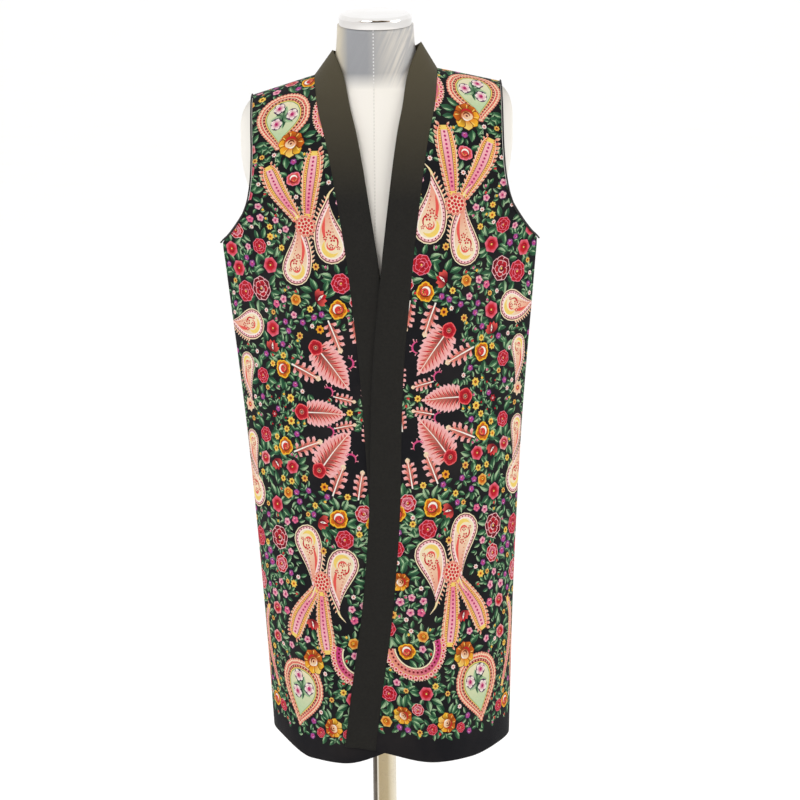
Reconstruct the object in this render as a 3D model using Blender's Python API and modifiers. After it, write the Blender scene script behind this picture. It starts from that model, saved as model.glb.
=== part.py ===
"""A long sleeveless vest with a crossed front band, worn by a limbless dress form on a pole stand.

Metres, +Z up. The front faces -Y, and the wearer's left side is at +X. The origin is the middle of the
stand's underside. The cloth is worked out from a table of level sections: each is a lens or an oval with
its own half width and depths, and the front and back panels share it. What lies on a panel, or is sewn
to it, reads the same surface, moved out or carried on past its edge.
"""

import math

import bmesh
import bpy
import numpy as np

# Cloth
WALL = 0.0020
SEAM_GAP = 0.0004
HEM_Z = 0.385
SHOULDER_NECK_X = 0.0905
SHOULDER_NECK_Z = 1.402
SHOULDER_TILT = 0.045
LEAN = math.tan(math.radians(0.65))
SIDE_EDGE = 0.0017
RIDGE_EDGE = 0.0007
NECK_GAP = 0.0006
BAND_WIDTH = 0.045
BAND_STEPS = 3
OVERLAP_LIFT = 0.0030
OVERLAP_FULL_Z = 1.12
OVERLAP_END_Z = 1.20
OVERLAP_FULL_X = 0.055
OVERLAP_END_X = 0.125
BACK_NECK_DROP = 0.066
EDGING_RADIUS = 0.0012

# How far down the front the band turns from standing up to lying flat, and how it leans to the neck,
# at its sides, right and left, and at its back
BAND_LIES_AT = 0.105
BAND_LEAN_SIDE = {-1: 0.74, 1: 0.60}
BAND_LEAN_BACK = -0.04

# The hem rises at the side seams and towards the crossed front edges, within HEM_RAMP of the hem. Each
# rise starts at its FROM_X and is whole after its WIDTH.
HEM_RAMP = 0.30
SIDE_RISE_RIGHT_SIDE = 0.026
SIDE_RISE_LEFT_SIDE = 0.010
SIDE_RISE_FROM_X = 0.120
SIDE_RISE_WIDTH = 0.062
EDGE_RISE = 0.026
TOP_RISE_FROM_X = 0.070
TOP_RISE_WIDTH = 0.140
UNDER_RISE_FROM_X = -0.070
UNDER_RISE_WIDTH = 0.110

# Level sections of the cloth, shoulder line first. z is at the neck end of the shoulder, half is the
# half width, front and back are the depths at the middle, edge is the depth at the armhole, power is
# 1 for a lens and 0.5 for an oval, and slope is the fall from the neck to the shoulder tip.
CLOTH_COLUMNS = ("z", "half", "front", "back", "edge", "power", "slope")
CLOTH_ROWS = (
    (1.4020, 0.1810, RIDGE_EDGE, RIDGE_EDGE, RIDGE_EDGE, 1.00, 0.276),
    (1.3985, 0.1812, 0.0180, 0.0180, 0.0170, 1.00, 0.270),
    (1.3880, 0.1815, 0.0380, 0.0380, 0.0350, 1.00, 0.265),
    (1.3640, 0.1815, 0.0620, 0.0620, 0.0540, 1.00, 0.250),
    (1.3260, 0.1815, 0.0830, 0.0820, 0.0660, 1.00, 0.220),
    (1.2820, 0.1830, 0.0980, 0.0950, 0.0710, 1.00, 0.170),
    (1.2420, 0.1880, 0.1070, 0.1030, 0.0670, 1.00, 0.120),
    (1.2120, 0.1970, 0.1130, 0.1060, 0.0520, 1.00, 0.080),
    (1.1860, 0.2110, 0.1170, 0.1080, 0.0310, 1.00, 0.050),
    (1.1680, 0.2235, 0.1195, 0.1090, 0.0140, 1.00, 0.035),
    (1.1560, 0.2335, 0.1215, 0.1100, SIDE_EDGE, 1.00, 0.025),
    (1.1200, 0.2305, 0.1260, 0.1110, SIDE_EDGE, 1.00, 0.010),
    (1.0600, 0.2247, 0.1280, 0.1120, SIDE_EDGE, 0.94, 0.000),
    (0.9660, 0.2152, 0.1285, 0.1140, SIDE_EDGE, 0.87, 0.000),
    (0.8680, 0.2063, 0.1290, 0.1180, SIDE_EDGE, 0.80, 0.000),
    (0.7450, 0.1975, 0.1300, 0.1230, SIDE_EDGE, 0.72, 0.000),
    (0.5950, 0.1888, 0.1310, 0.1280, SIDE_EDGE, 0.64, 0.000),
    (0.4800, 0.1840, 0.1320, 0.1310, SIDE_EDGE, 0.60, 0.000),
    (HEM_Z, 0.1800, 0.1340, 0.1340, SIDE_EDGE, 0.56, 0.000),
)
UNDERARM_ROW = 10

# Where each front meets its band, measured from the middle towards its own side
SEAM_COLUMNS = ("z", "top", "under")
SEAM_ROWS = (
    (1.4020, 0.0905, 0.0905),
    (1.3560, 0.0855, 0.0855),
    (1.3050, 0.0745, 0.0745),
    (1.2230, 0.0610, 0.0610),
    (1.1060, 0.0450, 0.0450),
    (0.9310, 0.0280, 0.0310),
    (0.7820, 0.0220, 0.0245),
    (0.6310, 0.0090, 0.0185),
    (0.4815, -0.0110, 0.0145),
    (HEM_Z, -0.0235, 0.0125),
)

# Long soft folds in the lower cloth. A row is the side, which is -1 for the front, the x of the crest, its
# half width, how far it stands out, and the height at which it fades.
FOLD_ROWS = (
    (-1, -0.080, 0.034, 0.0080, 0.90),
    (-1, 0.000, 0.034, -0.0060, 0.85),
    (-1, 0.092, 0.036, 0.0060, 0.80),
    (1, -0.078, 0.036, 0.0080, 0.95),
    (1, -0.004, 0.034, -0.0060, 0.95),
    (1, 0.074, 0.036, 0.0075, 0.90),
)

# Grid sizes
TOP_ROWS = 14
LOWER_ROWS = 15
TOP_ROW_SPREAD = 1.25
FRONT_COLUMNS = 11
NECK_COLUMNS = 5
BACK_SIDE_COLUMNS = 6
# How fast the rows of the back even out below the neckline
NECK_FADE = 1.5
# How far in from the armhole's edge, as a share of the half width, its direction is read
EDGING_READ_AT = 0.985

# Level sections of the dress form, neck first. A row is the height, the half width, the depths at the
# front and the back, and the power, as in the cloth's table.
FORM_ROWS = (
    (1.4700, 0.0560, 0.0600, 0.0500, 0.50),
    (1.4450, 0.0575, 0.0595, 0.0510, 0.50),
    (1.4250, 0.0600, 0.0585, 0.0525, 0.52),
    (1.4120, 0.0650, 0.0575, 0.0530, 0.62),
    (1.4045, 0.0740, 0.0570, 0.0530, 0.85),
    (1.3995, 0.0880, 0.0565, 0.0520, 1.20),
    (1.3904, 0.1249, 0.0570, 0.0525, 1.80),
    (1.3804, 0.1610, 0.0585, 0.0540, 1.90),
    (1.3740, 0.1810, 0.0610, 0.0560, 1.70),
    (1.3630, 0.1920, 0.0650, 0.0590, 1.35),
    (1.3480, 0.1985, 0.0710, 0.0640, 1.00),
    (1.3300, 0.2010, 0.0770, 0.0690, 0.80),
    (1.3000, 0.2010, 0.0850, 0.0770, 0.70),
    (1.2700, 0.1985, 0.0920, 0.0830, 0.65),
    (1.2400, 0.1920, 0.0980, 0.0870, 0.60),
    (1.2100, 0.1810, 0.1030, 0.0890, 0.55),
    (1.1800, 0.1700, 0.1080, 0.0900, 0.52),
    (1.1500, 0.1620, 0.1120, 0.0900, 0.50),
    (1.1150, 0.1570, 0.1150, 0.0880, 0.50),
    (1.0700, 0.1470, 0.1100, 0.0830, 0.50),
    (1.0200, 0.1330, 0.0980, 0.0760, 0.50),
    (0.9700, 0.1240, 0.0890, 0.0730, 0.50),
    (0.9200, 0.1300, 0.0900, 0.0800, 0.50),
    (0.8500, 0.1510, 0.0980, 0.0950, 0.50),
    (0.7800, 0.1610, 0.1020, 0.1030, 0.50),
    (0.7250, 0.1580, 0.0990, 0.1010, 0.50),
    (0.6950, 0.1480, 0.0920, 0.0940, 0.50),
    (0.6900, 0.1430, 0.0880, 0.0900, 0.50),
)
FORM_SIDES = 32
# The form's shoulders tilt like the cloth's, from nothing at the neck's top to nothing at the chest
FORM_TILT_NECK_Z = 1.44
FORM_TILT_TOP_Z = 1.4045
FORM_TILT_FULL_Z = 1.32
FORM_TILT_END_Z = 1.20

# Neck cap: a shallow turned lid, set a little forward
CAP_RADIUS = 0.0535
CAP_HEIGHT = 0.017
CAP_CROWN = 0.0015
CAP_ROUND = 0.006
CAP_STRETCH = 0.98
CAP_FORWARD = 0.005

# Stand
POLE_RADIUS = 0.018
BASE_RADIUS = 0.165
BASE_EDGE = 0.008
BASE_EDGE_ROUND = 0.003
BASE_RIM = 0.004
BASE_RISE = 0.014
BASE_FLAT_SHARE = 0.60
BASE_FLAT_DROP = 0.002
COLLAR_RADIUS = 0.030
COLLAR_TOP = 0.060
COLLAR_ROUND = 0.004
COLLAR_FOOT = 0.006
SOCKET_FLOOR = 0.008
SOCKET_RADIUS = POLE_RADIUS + SEAM_GAP
TURN_STEPS = 48
MERGE_WITHIN = 0.00005


def smooth_step(value):
    """0 below 0, 1 above 1, and a soft S between."""
    held = np.clip(value, 0.0, 1.0)
    return held * held * (3.0 - 2.0 * held)


def monotone_curve(knots, values, at):
    """Reads a smooth curve through (knots, values) that never swings past them."""
    step = np.diff(knots)
    rise = np.diff(values) / step
    slope = np.zeros(len(knots))
    same = rise[:-1] * rise[1:] > 0
    before = 2 * step[1:] + step[:-1]
    after = step[1:] + 2 * step[:-1]
    with np.errstate(divide="ignore", invalid="ignore"):
        mean = (before + after) / (before / rise[:-1] + after / rise[1:])
    slope[1:-1] = np.where(same, mean, 0.0)
    slope[0], slope[-1] = rise[0], rise[-1]
    at = np.clip(np.asarray(at, dtype=float), knots[0], knots[-1])
    place = np.clip(np.searchsorted(knots, at, side="right") - 1, 0, len(step) - 1)
    part = (at - knots[place]) / step[place]
    low, high = values[place], values[place + 1]
    bend_low, bend_high = slope[place] * step[place], slope[place + 1] * step[place]
    square, cube = part**2, part**3
    return (
        low * (2 * cube - 3 * square + 1)
        + bend_low * (cube - 2 * square + part)
        + high * (3 * square - 2 * cube)
        + bend_high * (cube - square)
    )


def table(columns, rows):
    """A table of rows as one array for each named column."""
    return {name: np.array([row[place] for row in rows]) for place, name in enumerate(columns)}


CLOTH = table(CLOTH_COLUMNS, CLOTH_ROWS)
SEAMS = table(SEAM_COLUMNS, SEAM_ROWS)
# Distance down the middle of the front, from the shoulder line to each section
DOWN = np.concatenate([[0.0], np.cumsum(np.hypot(np.diff(CLOTH["z"]), np.diff(CLOTH["front"])))])
LENGTH = DOWN[-1]
UNDERARM = DOWN[UNDERARM_ROW]


def at_distance(name, down):
    """A column of the cloth's table at a distance down from the shoulder line."""
    return monotone_curve(DOWN, CLOTH[name], down)


def seam_place(name, down):
    """Where the front named top or under meets its band, as a share of the half width."""
    z = at_distance("z", down)
    return monotone_curve(-SEAMS["z"], SEAMS[name], -z) / at_distance("half", down)


def soft_distance(x):
    """The distance from the middle, rounded off at the middle."""
    round_off = 0.04
    return np.sqrt(x * x + round_off**2) - (math.hypot(SHOULDER_NECK_X, round_off) - SHOULDER_NECK_X)


def hem_rise(x, down, layer):
    """How far the cloth is lifted near its hem, at the sides and at the crossed front edges."""
    ramp = smooth_step((down - (LENGTH - HEM_RAMP)) / HEM_RAMP)
    side = np.where(x < 0, SIDE_RISE_RIGHT_SIDE, SIDE_RISE_LEFT_SIDE)
    rise = side * smooth_step((np.abs(x) - SIDE_RISE_FROM_X) / SIDE_RISE_WIDTH)
    if layer == "top":
        rise = rise + EDGE_RISE * smooth_step((TOP_RISE_FROM_X - x) / TOP_RISE_WIDTH)
    if layer == "under":
        rise = rise + EDGE_RISE * smooth_step((x - UNDER_RISE_FROM_X) / UNDER_RISE_WIDTH)
    return rise * ramp


def fold_depth(side, x, z):
    """How far the long soft folds move the cloth out."""
    out = np.zeros(np.broadcast(x, z).shape)
    for fold_side, middle, width, crest, top_z in FOLD_ROWS:
        if fold_side == side:
            along = smooth_step((top_z - z) / (top_z - HEM_Z))
            out = out + crest * along * np.exp(-(((x - middle) / width) ** 2))
    return out


def cloth_points(side, down, across, layer="plain"):
    """Points of the cloth's outer face. side is -1 for the front and 1 for the back, down is the distance
    from the shoulder line, and across runs from -1 to 1 over the section's width."""
    half, edge, power = (at_distance(name, down) for name in ("half", "edge", "power"))
    depth = at_distance("front" if side < 0 else "back", down)
    slope = at_distance("slope", down)
    x = half * across
    bulge = np.maximum(1.0 - across**2, 0.0) ** power
    fade = slope / CLOTH["slope"][0]
    z = at_distance("z", down) - slope * (soft_distance(x) - SHOULDER_NECK_X) + SHOULDER_TILT * fade * x
    y = side * (edge + (depth - edge) * bulge + fold_depth(side, x, z))
    if layer == "top":
        over_x = smooth_step((OVERLAP_END_X - x) / (OVERLAP_END_X - OVERLAP_FULL_X))
        over_z = smooth_step((OVERLAP_END_Z - z) / (OVERLAP_END_Z - OVERLAP_FULL_Z))
        y = y - OVERLAP_LIFT * over_x * over_z
    return np.stack([x + LEAN * (SHOULDER_NECK_Z - z), y, z + hem_rise(x, down, layer)], axis=-1)


def spread(share, power):
    """Even steps on a lens, closer near the side on an oval, whose side turns sharply."""
    oval = np.clip((1.0 - power) / 0.5, 0.0, 1.0)
    return (1 - oval) * share + oval * np.sin(share * math.pi / 2)


def row_distances():
    """The distances down of the grid's rows, with one exactly at the underarm."""
    upper = UNDERARM * (np.arange(TOP_ROWS + 1) / TOP_ROWS) ** TOP_ROW_SPREAD
    lower = np.linspace(UNDERARM, LENGTH, LOWER_ROWS + 1)[1:]
    return np.concatenate([upper, lower])


def material(name, colour, roughness, metallic=0.0):
    """A Principled material."""
    made = bpy.data.materials.new(name)
    made.use_nodes = True
    shader = made.node_tree.nodes["Principled BSDF"]
    shader.inputs["Base Color"].default_value = (*colour, 1.0)
    shader.inputs["Roughness"].default_value = roughness
    shader.inputs["Metallic"].default_value = metallic
    return made


def place_object(name, data, collection, look):
    """Puts a mesh or curve in the scene as a named object with its material."""
    made = bpy.data.objects.new(name, data)
    data.materials.append(look)
    collection.objects.link(made)
    return made


def lofted_mesh(name, points, closed=False, capped=False, flip=False):
    """A mesh through a grid of points, one row for each section. A closed one joins each row's ends, and a
    capped one fills the first and last rows."""
    mesh = bmesh.new()
    rows = [[mesh.verts.new(point) for point in row] for row in points]
    count = len(rows[0])
    for upper, lower in zip(rows, rows[1:]):
        for place in range(count if closed else count - 1):
            after = (place + 1) % count
            corners = (upper[place], lower[place], lower[after], upper[after])
            mesh.faces.new(reversed(corners) if flip else corners)
    if capped:
        mesh.faces.new(rows[0])
        mesh.faces.new(list(reversed(rows[-1])))
        bmesh.ops.recalc_face_normals(mesh, faces=mesh.faces)
    data = bpy.data.meshes.new(name)
    mesh.to_mesh(data)
    mesh.free()
    data.shade_smooth()
    return data


def cloth_piece(name, points, collection, look, flip=False):
    """A wall of cloth: its outer face is the grid, and Solidify gives it its thickness inwards."""
    piece = place_object(name, lofted_mesh(name, points, flip=flip), collection, look)
    wall = piece.modifiers.new("wall", "SOLIDIFY")
    wall.thickness = WALL
    wall.offset = -1.0
    return piece


def front_grid(hand, layer):
    """The grid of one front, from its band seam to its side. hand is 1 for the wearer's left."""
    down = row_distances()[:, None]
    half = at_distance("half", down)
    start = seam_place(layer, down) + SEAM_GAP / 2 / half
    share = np.linspace(0.0, 1.0, FRONT_COLUMNS + 1)[None, :]
    across = start + (1.0 - start) * spread(share, at_distance("power", down))
    return cloth_points(-1, down, hand * across, layer)


def back_columns():
    """The back's columns as shares of its half width: inside the neck, then out to the armhole."""
    neck = SHOULDER_NECK_X / CLOTH["half"][0]
    inside = neck * np.sin(np.linspace(0.0, 1.0, NECK_COLUMNS + 1) * math.pi / 2)
    outside = np.linspace(neck, 1.0, BACK_SIDE_COLUMNS + 1)[1:]
    right = np.concatenate([inside, outside])
    return np.concatenate([-right[:0:-1], right])


def back_neckline(across):
    """The distance down at which the back starts, which is nothing outside the neck."""
    inside = np.clip(np.abs(across) * CLOTH["half"][0] / SHOULDER_NECK_X, 0.0, 1.0)
    return BACK_NECK_DROP * np.sqrt(1.0 - inside**2)


def back_grid():
    """The grid of the back, whose top row follows the shoulders and the neckline."""
    across = back_columns()[None, :]
    down = row_distances()[:, None]
    start = back_neckline(across)
    fade = np.clip(1.0 - down / UNDERARM, 0.0, 1.0) ** NECK_FADE
    lower = down + start * fade
    side_ward = np.sign(across) * spread(np.abs(across), at_distance("power", down))
    return cloth_points(1, lower, side_ward)


def toward_neck(seam):
    """Unit vectors, level, from points on the neckline to the neck's axis."""
    level = -seam.copy()
    level[:, 2] = 0.0
    return level / np.linalg.norm(level, axis=1)[:, None]


def band_front_rows(hand, layer):
    """Band stations from the hem up to the shoulder, each a row of points across the band."""
    down = row_distances()[::-1]
    half = at_distance("half", down)
    seam = seam_place(layer, down)
    share = np.linspace(0.0, 1.0, BAND_STEPS + 1)
    reach = SEAM_GAP / 2 + (BAND_WIDTH - SEAM_GAP / 2) * share
    flat = cloth_points(-1, down[:, None], hand * (seam[:, None] - reach[None, :] / half[:, None]), layer)
    start = flat[:, 0, :]
    lying = flat[:, -1, :] - start
    lying = lying / np.linalg.norm(lying, axis=1)[:, None]
    standing = np.array([-hand * BAND_LEAN_SIDE[hand], 0.0, 1.0]) / math.hypot(BAND_LEAN_SIDE[hand], 1.0)
    upright = smooth_step(1.0 - down / BAND_LIES_AT)[:, None]
    direction = (1 - upright) * lying + upright * standing
    direction = direction / np.linalg.norm(direction, axis=1)[:, None]
    stood = start[:, None, :] + direction[:, None, :] * (reach - reach[0])[None, :, None]
    return (1 - upright[:, :, None]) * flat + upright[:, :, None] * stood


def band_back_rows(hand):
    """Band stations from the shoulder round to the middle of the back."""
    share = np.linspace(0.0, 1.0, NECK_COLUMNS + 1)[1:]
    neck = SHOULDER_NECK_X / CLOTH["half"][0]
    across = hand * neck * np.cos(share * math.pi / 2)
    seam = cloth_points(1, back_neckline(across), across)
    inward = toward_neck(seam)
    side_share = np.abs(seam[:, 0:1]) / SHOULDER_NECK_X
    lean = BAND_LEAN_BACK + (BAND_LEAN_SIDE[hand] - BAND_LEAN_BACK) * side_share**2
    direction = lean * inward + np.array([0.0, 0.0, 1.0])
    direction = direction / np.linalg.norm(direction, axis=1)[:, None]
    reach = NECK_GAP + (BAND_WIDTH - NECK_GAP) * np.linspace(0.0, 1.0, BAND_STEPS + 1)
    rows = seam[:, None, :] + direction[:, None, :] * reach[None, :, None]
    rows[-1, :, 0] = hand * NECK_GAP
    return rows


def armhole_edging(name, hand, collection, look):
    """A thin rolled edge round one armhole, just outside the panels' edges and level with their middles."""
    down = row_distances()[: TOP_ROWS + 1]
    sides = []
    for side in (-1, 1):
        edge = cloth_points(side, down, np.full(len(down), float(hand)))
        inner = cloth_points(side, down, np.full(len(down), hand * EDGING_READ_AT))
        outward = edge - inner
        outward = outward / np.linalg.norm(outward, axis=1)[:, None]
        face = np.cross(outward, np.gradient(edge, axis=0)) * -hand * side
        face = face / np.linalg.norm(face, axis=1)[:, None]
        sides.append(edge + outward * (EDGING_RADIUS + NECK_GAP) - face * WALL / 2)
    front, back = sides
    top = (front[0] + back[0]) / 2
    bottom = (front[-1] + back[-1]) / 2
    bottom[0] += hand * EDGING_RADIUS
    loop = [top, *front[1:-1], bottom, *back[-2:0:-1]]
    curve = bpy.data.curves.new(name, "CURVE")
    curve.dimensions = "3D"
    curve.bevel_depth = EDGING_RADIUS
    curve.bevel_resolution = 1
    line = curve.splines.new("POLY")
    line.points.add(len(loop) - 1)
    for spot, place in zip(line.points, loop):
        spot.co = (*place, 1.0)
    line.use_cyclic_u = True
    return place_object(name, curve, collection, look)


def form_torso(collection, look):
    """The padded torso with its neck and rounded shoulders, lofted through level sections."""
    turn = np.linspace(0.0, 2 * math.pi, FORM_SIDES, endpoint=False)
    rows = []
    for z, half, front, back, power in FORM_ROWS:
        x = half * np.sin(turn)
        ahead = np.cos(turn)
        depth = np.where(ahead > 0, -front, back)
        y = depth * np.abs(ahead) ** (2 * power)
        below = smooth_step((z - FORM_TILT_END_Z) / (FORM_TILT_FULL_Z - FORM_TILT_END_Z))
        above = smooth_step((FORM_TILT_NECK_Z - z) / (FORM_TILT_NECK_Z - FORM_TILT_TOP_Z))
        rows.append(np.stack([x, y, z + SHOULDER_TILT * below * above * x], axis=-1))
    torso = lofted_mesh("form_torso", rows, closed=True, capped=True)
    return place_object("form_torso", torso, collection, look)


def turned_piece(name, profile, collection, look):
    """A piece turned round the vertical axis from a profile of (radius, height) points, top to bottom."""
    mesh = bmesh.new()
    spots = [mesh.verts.new((radius, 0.0, height)) for radius, height in profile]
    for first, second in zip(spots, spots[1:]):
        mesh.edges.new((first, second))
    data = bpy.data.meshes.new(name)
    mesh.to_mesh(data)
    mesh.free()
    piece = place_object(name, data, collection, look)
    turn = piece.modifiers.new("turn", "SCREW")
    turn.axis = "Z"
    turn.steps = turn.render_steps = TURN_STEPS
    turn.use_merge_vertices = True
    turn.merge_threshold = MERGE_WITHIN
    turn.use_smooth_shade = True
    return piece


def neck_cap(collection, look):
    """The metal lid on the neck: a straight rim, a rounded shoulder and a nearly flat top."""
    arc = [
        (
            CAP_RADIUS - CAP_ROUND * (1 - math.sin(angle)),
            CAP_HEIGHT - CAP_ROUND * (1 - math.cos(angle)),
        )
        for angle in (math.radians(step) for step in (0, 30, 60, 90))
    ]
    profile = [(0.0, CAP_HEIGHT + CAP_CROWN), *arc, (CAP_RADIUS, 0.0), (0.0, 0.0)]
    cap = turned_piece("form_neck_cap", profile, collection, look)
    cap.location = (0.0, -CAP_FORWARD, FORM_ROWS[0][0] + SEAM_GAP)
    cap.scale = (1.0, CAP_STRETCH, 1.0)
    return cap


def stand_pole(collection, look):
    """The straight tube from the base's socket up to the torso's underside."""
    low, high = SOCKET_FLOOR + SEAM_GAP, FORM_ROWS[-1][0] - SEAM_GAP
    profile = [(0.0, high), (POLE_RADIUS, high), (POLE_RADIUS, low), (0.0, low)]
    return turned_piece("stand_pole", profile, collection, look)


def stand_base(collection, look):
    """A round plate with a collar that holds the pole."""
    profile = [
        (0.0, SOCKET_FLOOR),
        (SOCKET_RADIUS, SOCKET_FLOOR),
        (SOCKET_RADIUS, COLLAR_TOP),
        (COLLAR_RADIUS - COLLAR_ROUND, COLLAR_TOP),
        (COLLAR_RADIUS, COLLAR_TOP - COLLAR_ROUND),
        (COLLAR_RADIUS, BASE_RISE + COLLAR_ROUND),
        (COLLAR_RADIUS + COLLAR_FOOT, BASE_RISE),
        (BASE_RADIUS * BASE_FLAT_SHARE, BASE_RISE - BASE_FLAT_DROP),
        (BASE_RADIUS - BASE_RIM, BASE_EDGE),
        (BASE_RADIUS, BASE_EDGE - BASE_EDGE_ROUND),
        (BASE_RADIUS, 0.0),
        (0.0, 0.0),
    ]
    return turned_piece("stand_base", profile, collection, look)


def build():
    """Makes the whole object in one collection."""
    for old in list(bpy.data.objects):
        bpy.data.objects.remove(old)
    collection = bpy.data.collections.new("reversible_vest_on_dress_form")
    bpy.context.scene.collection.children.link(collection)
    print_cloth = material("printed_cloth", (0.16, 0.07, 0.06), 0.75)
    band_cloth = material("band_cloth", (0.025, 0.024, 0.022), 0.8)
    edge_cloth = material("edging_cloth", (0.012, 0.012, 0.013), 0.8)
    cover = material("form_cover", (0.70, 0.71, 0.73), 0.45)
    chrome = material("chrome", (0.82, 0.82, 0.84), 0.08, 1.0)
    steel = material("steel", (0.55, 0.54, 0.53), 0.25, 1.0)

    cloth_piece("front_left", front_grid(1, "top"), collection, print_cloth)
    cloth_piece("front_right", front_grid(-1, "under"), collection, print_cloth, flip=True)
    cloth_piece("back", back_grid(), collection, print_cloth, flip=True)
    for name, hand, layer in (("band_left", 1, "top"), ("band_right", -1, "under")):
        rows = np.concatenate([band_front_rows(hand, layer), band_back_rows(hand)])
        cloth_piece(name, rows, collection, band_cloth, flip=hand < 0)
    armhole_edging("armhole_edging_left", 1, collection, edge_cloth)
    armhole_edging("armhole_edging_right", -1, collection, edge_cloth)
    form_torso(collection, cover)
    neck_cap(collection, chrome)
    stand_pole(collection, steel)
    stand_base(collection, steel)


build()
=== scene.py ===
"""The looks of a long sleeveless vest on a limbless dress form, in one photographed setting.

Metres, +Z up, and the front faces -Y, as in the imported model. The cloth's surface is worked out from the
same table as the solids. The print is drawn as coloured outlines on the flat cut of the cloth, in
millimetres: a is the distance from the middle line, and s the distance down from the shoulder line. The
outlines are cut into triangles, which are then laid on the worn surface.
"""

import math
import random

import bpy
import numpy as np
from mathutils import Matrix, Vector
from mathutils.bvhtree import BVHTree
from mathutils.geometry import delaunay_2d_cdt


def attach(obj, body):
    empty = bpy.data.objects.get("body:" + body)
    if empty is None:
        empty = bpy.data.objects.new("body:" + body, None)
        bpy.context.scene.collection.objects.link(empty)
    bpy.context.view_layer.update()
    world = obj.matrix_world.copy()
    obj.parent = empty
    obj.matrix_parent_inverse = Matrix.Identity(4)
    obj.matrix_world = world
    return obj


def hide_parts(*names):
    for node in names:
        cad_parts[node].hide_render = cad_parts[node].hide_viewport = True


# The worn cloth, as in the solids
WALL = 0.0016
SEAM_GAP = 0.0004
NECK_GAP = 0.0006
HEM_Z = 0.385
SHOULDER_NECK_X = 0.0905
SHOULDER_NECK_Z = 1.402
SHOULDER_TILT = 0.045
LEAN = math.tan(math.radians(0.65))
SIDE_EDGE = 0.0017
RIDGE_EDGE = 0.0007
BAND_WIDTH = 0.045
OVERLAP_LIFT = 0.0030
OVERLAP_FULL_Z = 1.12
OVERLAP_END_Z = 1.20
OVERLAP_FULL_X = 0.055
OVERLAP_END_X = 0.125
BACK_NECK_DROP = 0.066
EDGING_RADIUS = 0.0012
EDGING_READ_AT = 0.985
BAND_LIES_AT = 0.105
BAND_LEAN_SIDE = {-1: 0.74, 1: 0.60}
BAND_LEAN_BACK = -0.04
HEM_RAMP = 0.30
SIDE_RISE = {-1: 0.026, 1: 0.010}
SIDE_RISE_FROM_X = 0.120
SIDE_RISE_WIDTH = 0.062
EDGE_RISE = 0.026
TOP_RISE_FROM_X = 0.070
TOP_RISE_WIDTH = 0.140
UNDER_RISE_FROM_X = -0.070
UNDER_RISE_WIDTH = 0.110
FOLD_CLEAR_SHARE = 0.16
CREASE_REACH = 0.42
# The shoulder line is rounded over the middle, and a cloth edge stands out by a share of the wall
MIDDLE_ROUND = 0.04
RIM_ROUND = 0.35
# In flat millimetres: the step of the reverse side's points, the step that slopes are read over, and how
# close two points are taken for one
REVERSE_STEP = 14.0
NORMAL_STEP = 0.9
CUT_WITHIN = 0.002
# Where a shell's face, rim and reverse lie in the square that its colours are baked in
FACE_MAP_WIDE = 0.70
RIM_MAP_FROM = 0.725
RIM_MAP_WIDE = 0.004
REVERSE_MAP_FROM = 0.75
MAP_EDGE = 0.01
MAP_SPAN = 0.98
# How plainly each panel's outlines are drawn, in flat millimetres: how far a point may lie off the line
# that takes its place, the least area of an outline, and the step of the points between the outlines
FRONT_WITHIN = 0.18
FRONT_LEAST_AREA = 0.4
FRONT_STEP = 7.0
BACK_WITHIN = 0.8
BACK_LEAST_AREA = 11.0
BACK_STEP = 10.0
MIDDLE_WITHIN = 0.01
# Rows of that grid stand closer than its points, and it keeps clear of the panel's edge
GRID_ROW_SHARE = 0.87
GRID_CLEAR_SHARE = 0.35
# The wearer's left front was cut from a place a little higher on the cloth: its print's stretch and start
# down the front, and its shift across at the shoulder and at the hem
LEFT_STRETCH = 1.0291
LEFT_START = -36.0
LEFT_SHIFT = (6.0, -3.0)
# Points round a panel's outline
EDGE_POINTS = 190
SHORT_EDGE_POINTS = 46
NECK_POINTS = 24

CLOTH_COLUMNS = ("z", "half", "front", "back", "edge", "power", "slope")
CLOTH_ROWS = (
    (1.4020, 0.1810, RIDGE_EDGE, RIDGE_EDGE, RIDGE_EDGE, 1.00, 0.276),
    (1.3985, 0.1812, 0.0180, 0.0180, 0.0170, 1.00, 0.270),
    (1.3880, 0.1815, 0.0380, 0.0380, 0.0350, 1.00, 0.265),
    (1.3640, 0.1815, 0.0620, 0.0620, 0.0540, 1.00, 0.250),
    (1.3260, 0.1815, 0.0830, 0.0820, 0.0660, 1.00, 0.220),
    (1.2820, 0.1830, 0.0980, 0.0950, 0.0710, 1.00, 0.170),
    (1.2420, 0.1880, 0.1070, 0.1030, 0.0670, 1.00, 0.120),
    (1.2120, 0.1970, 0.1130, 0.1060, 0.0520, 1.00, 0.080),
    (1.1860, 0.2110, 0.1170, 0.1080, 0.0310, 1.00, 0.050),
    (1.1680, 0.2235, 0.1195, 0.1090, 0.0140, 1.00, 0.035),
    (1.1560, 0.2335, 0.1215, 0.1100, SIDE_EDGE, 1.00, 0.025),
    (1.1200, 0.2305, 0.1260, 0.1110, SIDE_EDGE, 1.00, 0.010),
    (1.0600, 0.2247, 0.1280, 0.1120, SIDE_EDGE, 0.94, 0.000),
    (0.9660, 0.2152, 0.1285, 0.1140, SIDE_EDGE, 0.87, 0.000),
    (0.8680, 0.2063, 0.1290, 0.1180, SIDE_EDGE, 0.80, 0.000),
    (0.7450, 0.1975, 0.1300, 0.1230, SIDE_EDGE, 0.72, 0.000),
    (0.5950, 0.1888, 0.1310, 0.1280, SIDE_EDGE, 0.64, 0.000),
    (0.4800, 0.1840, 0.1320, 0.1310, SIDE_EDGE, 0.60, 0.000),
    (HEM_Z, 0.1800, 0.1340, 0.1340, SIDE_EDGE, 0.56, 0.000),
)
UNDERARM_ROW = 10
SEAM_COLUMNS = ("z", "top", "under")
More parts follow.
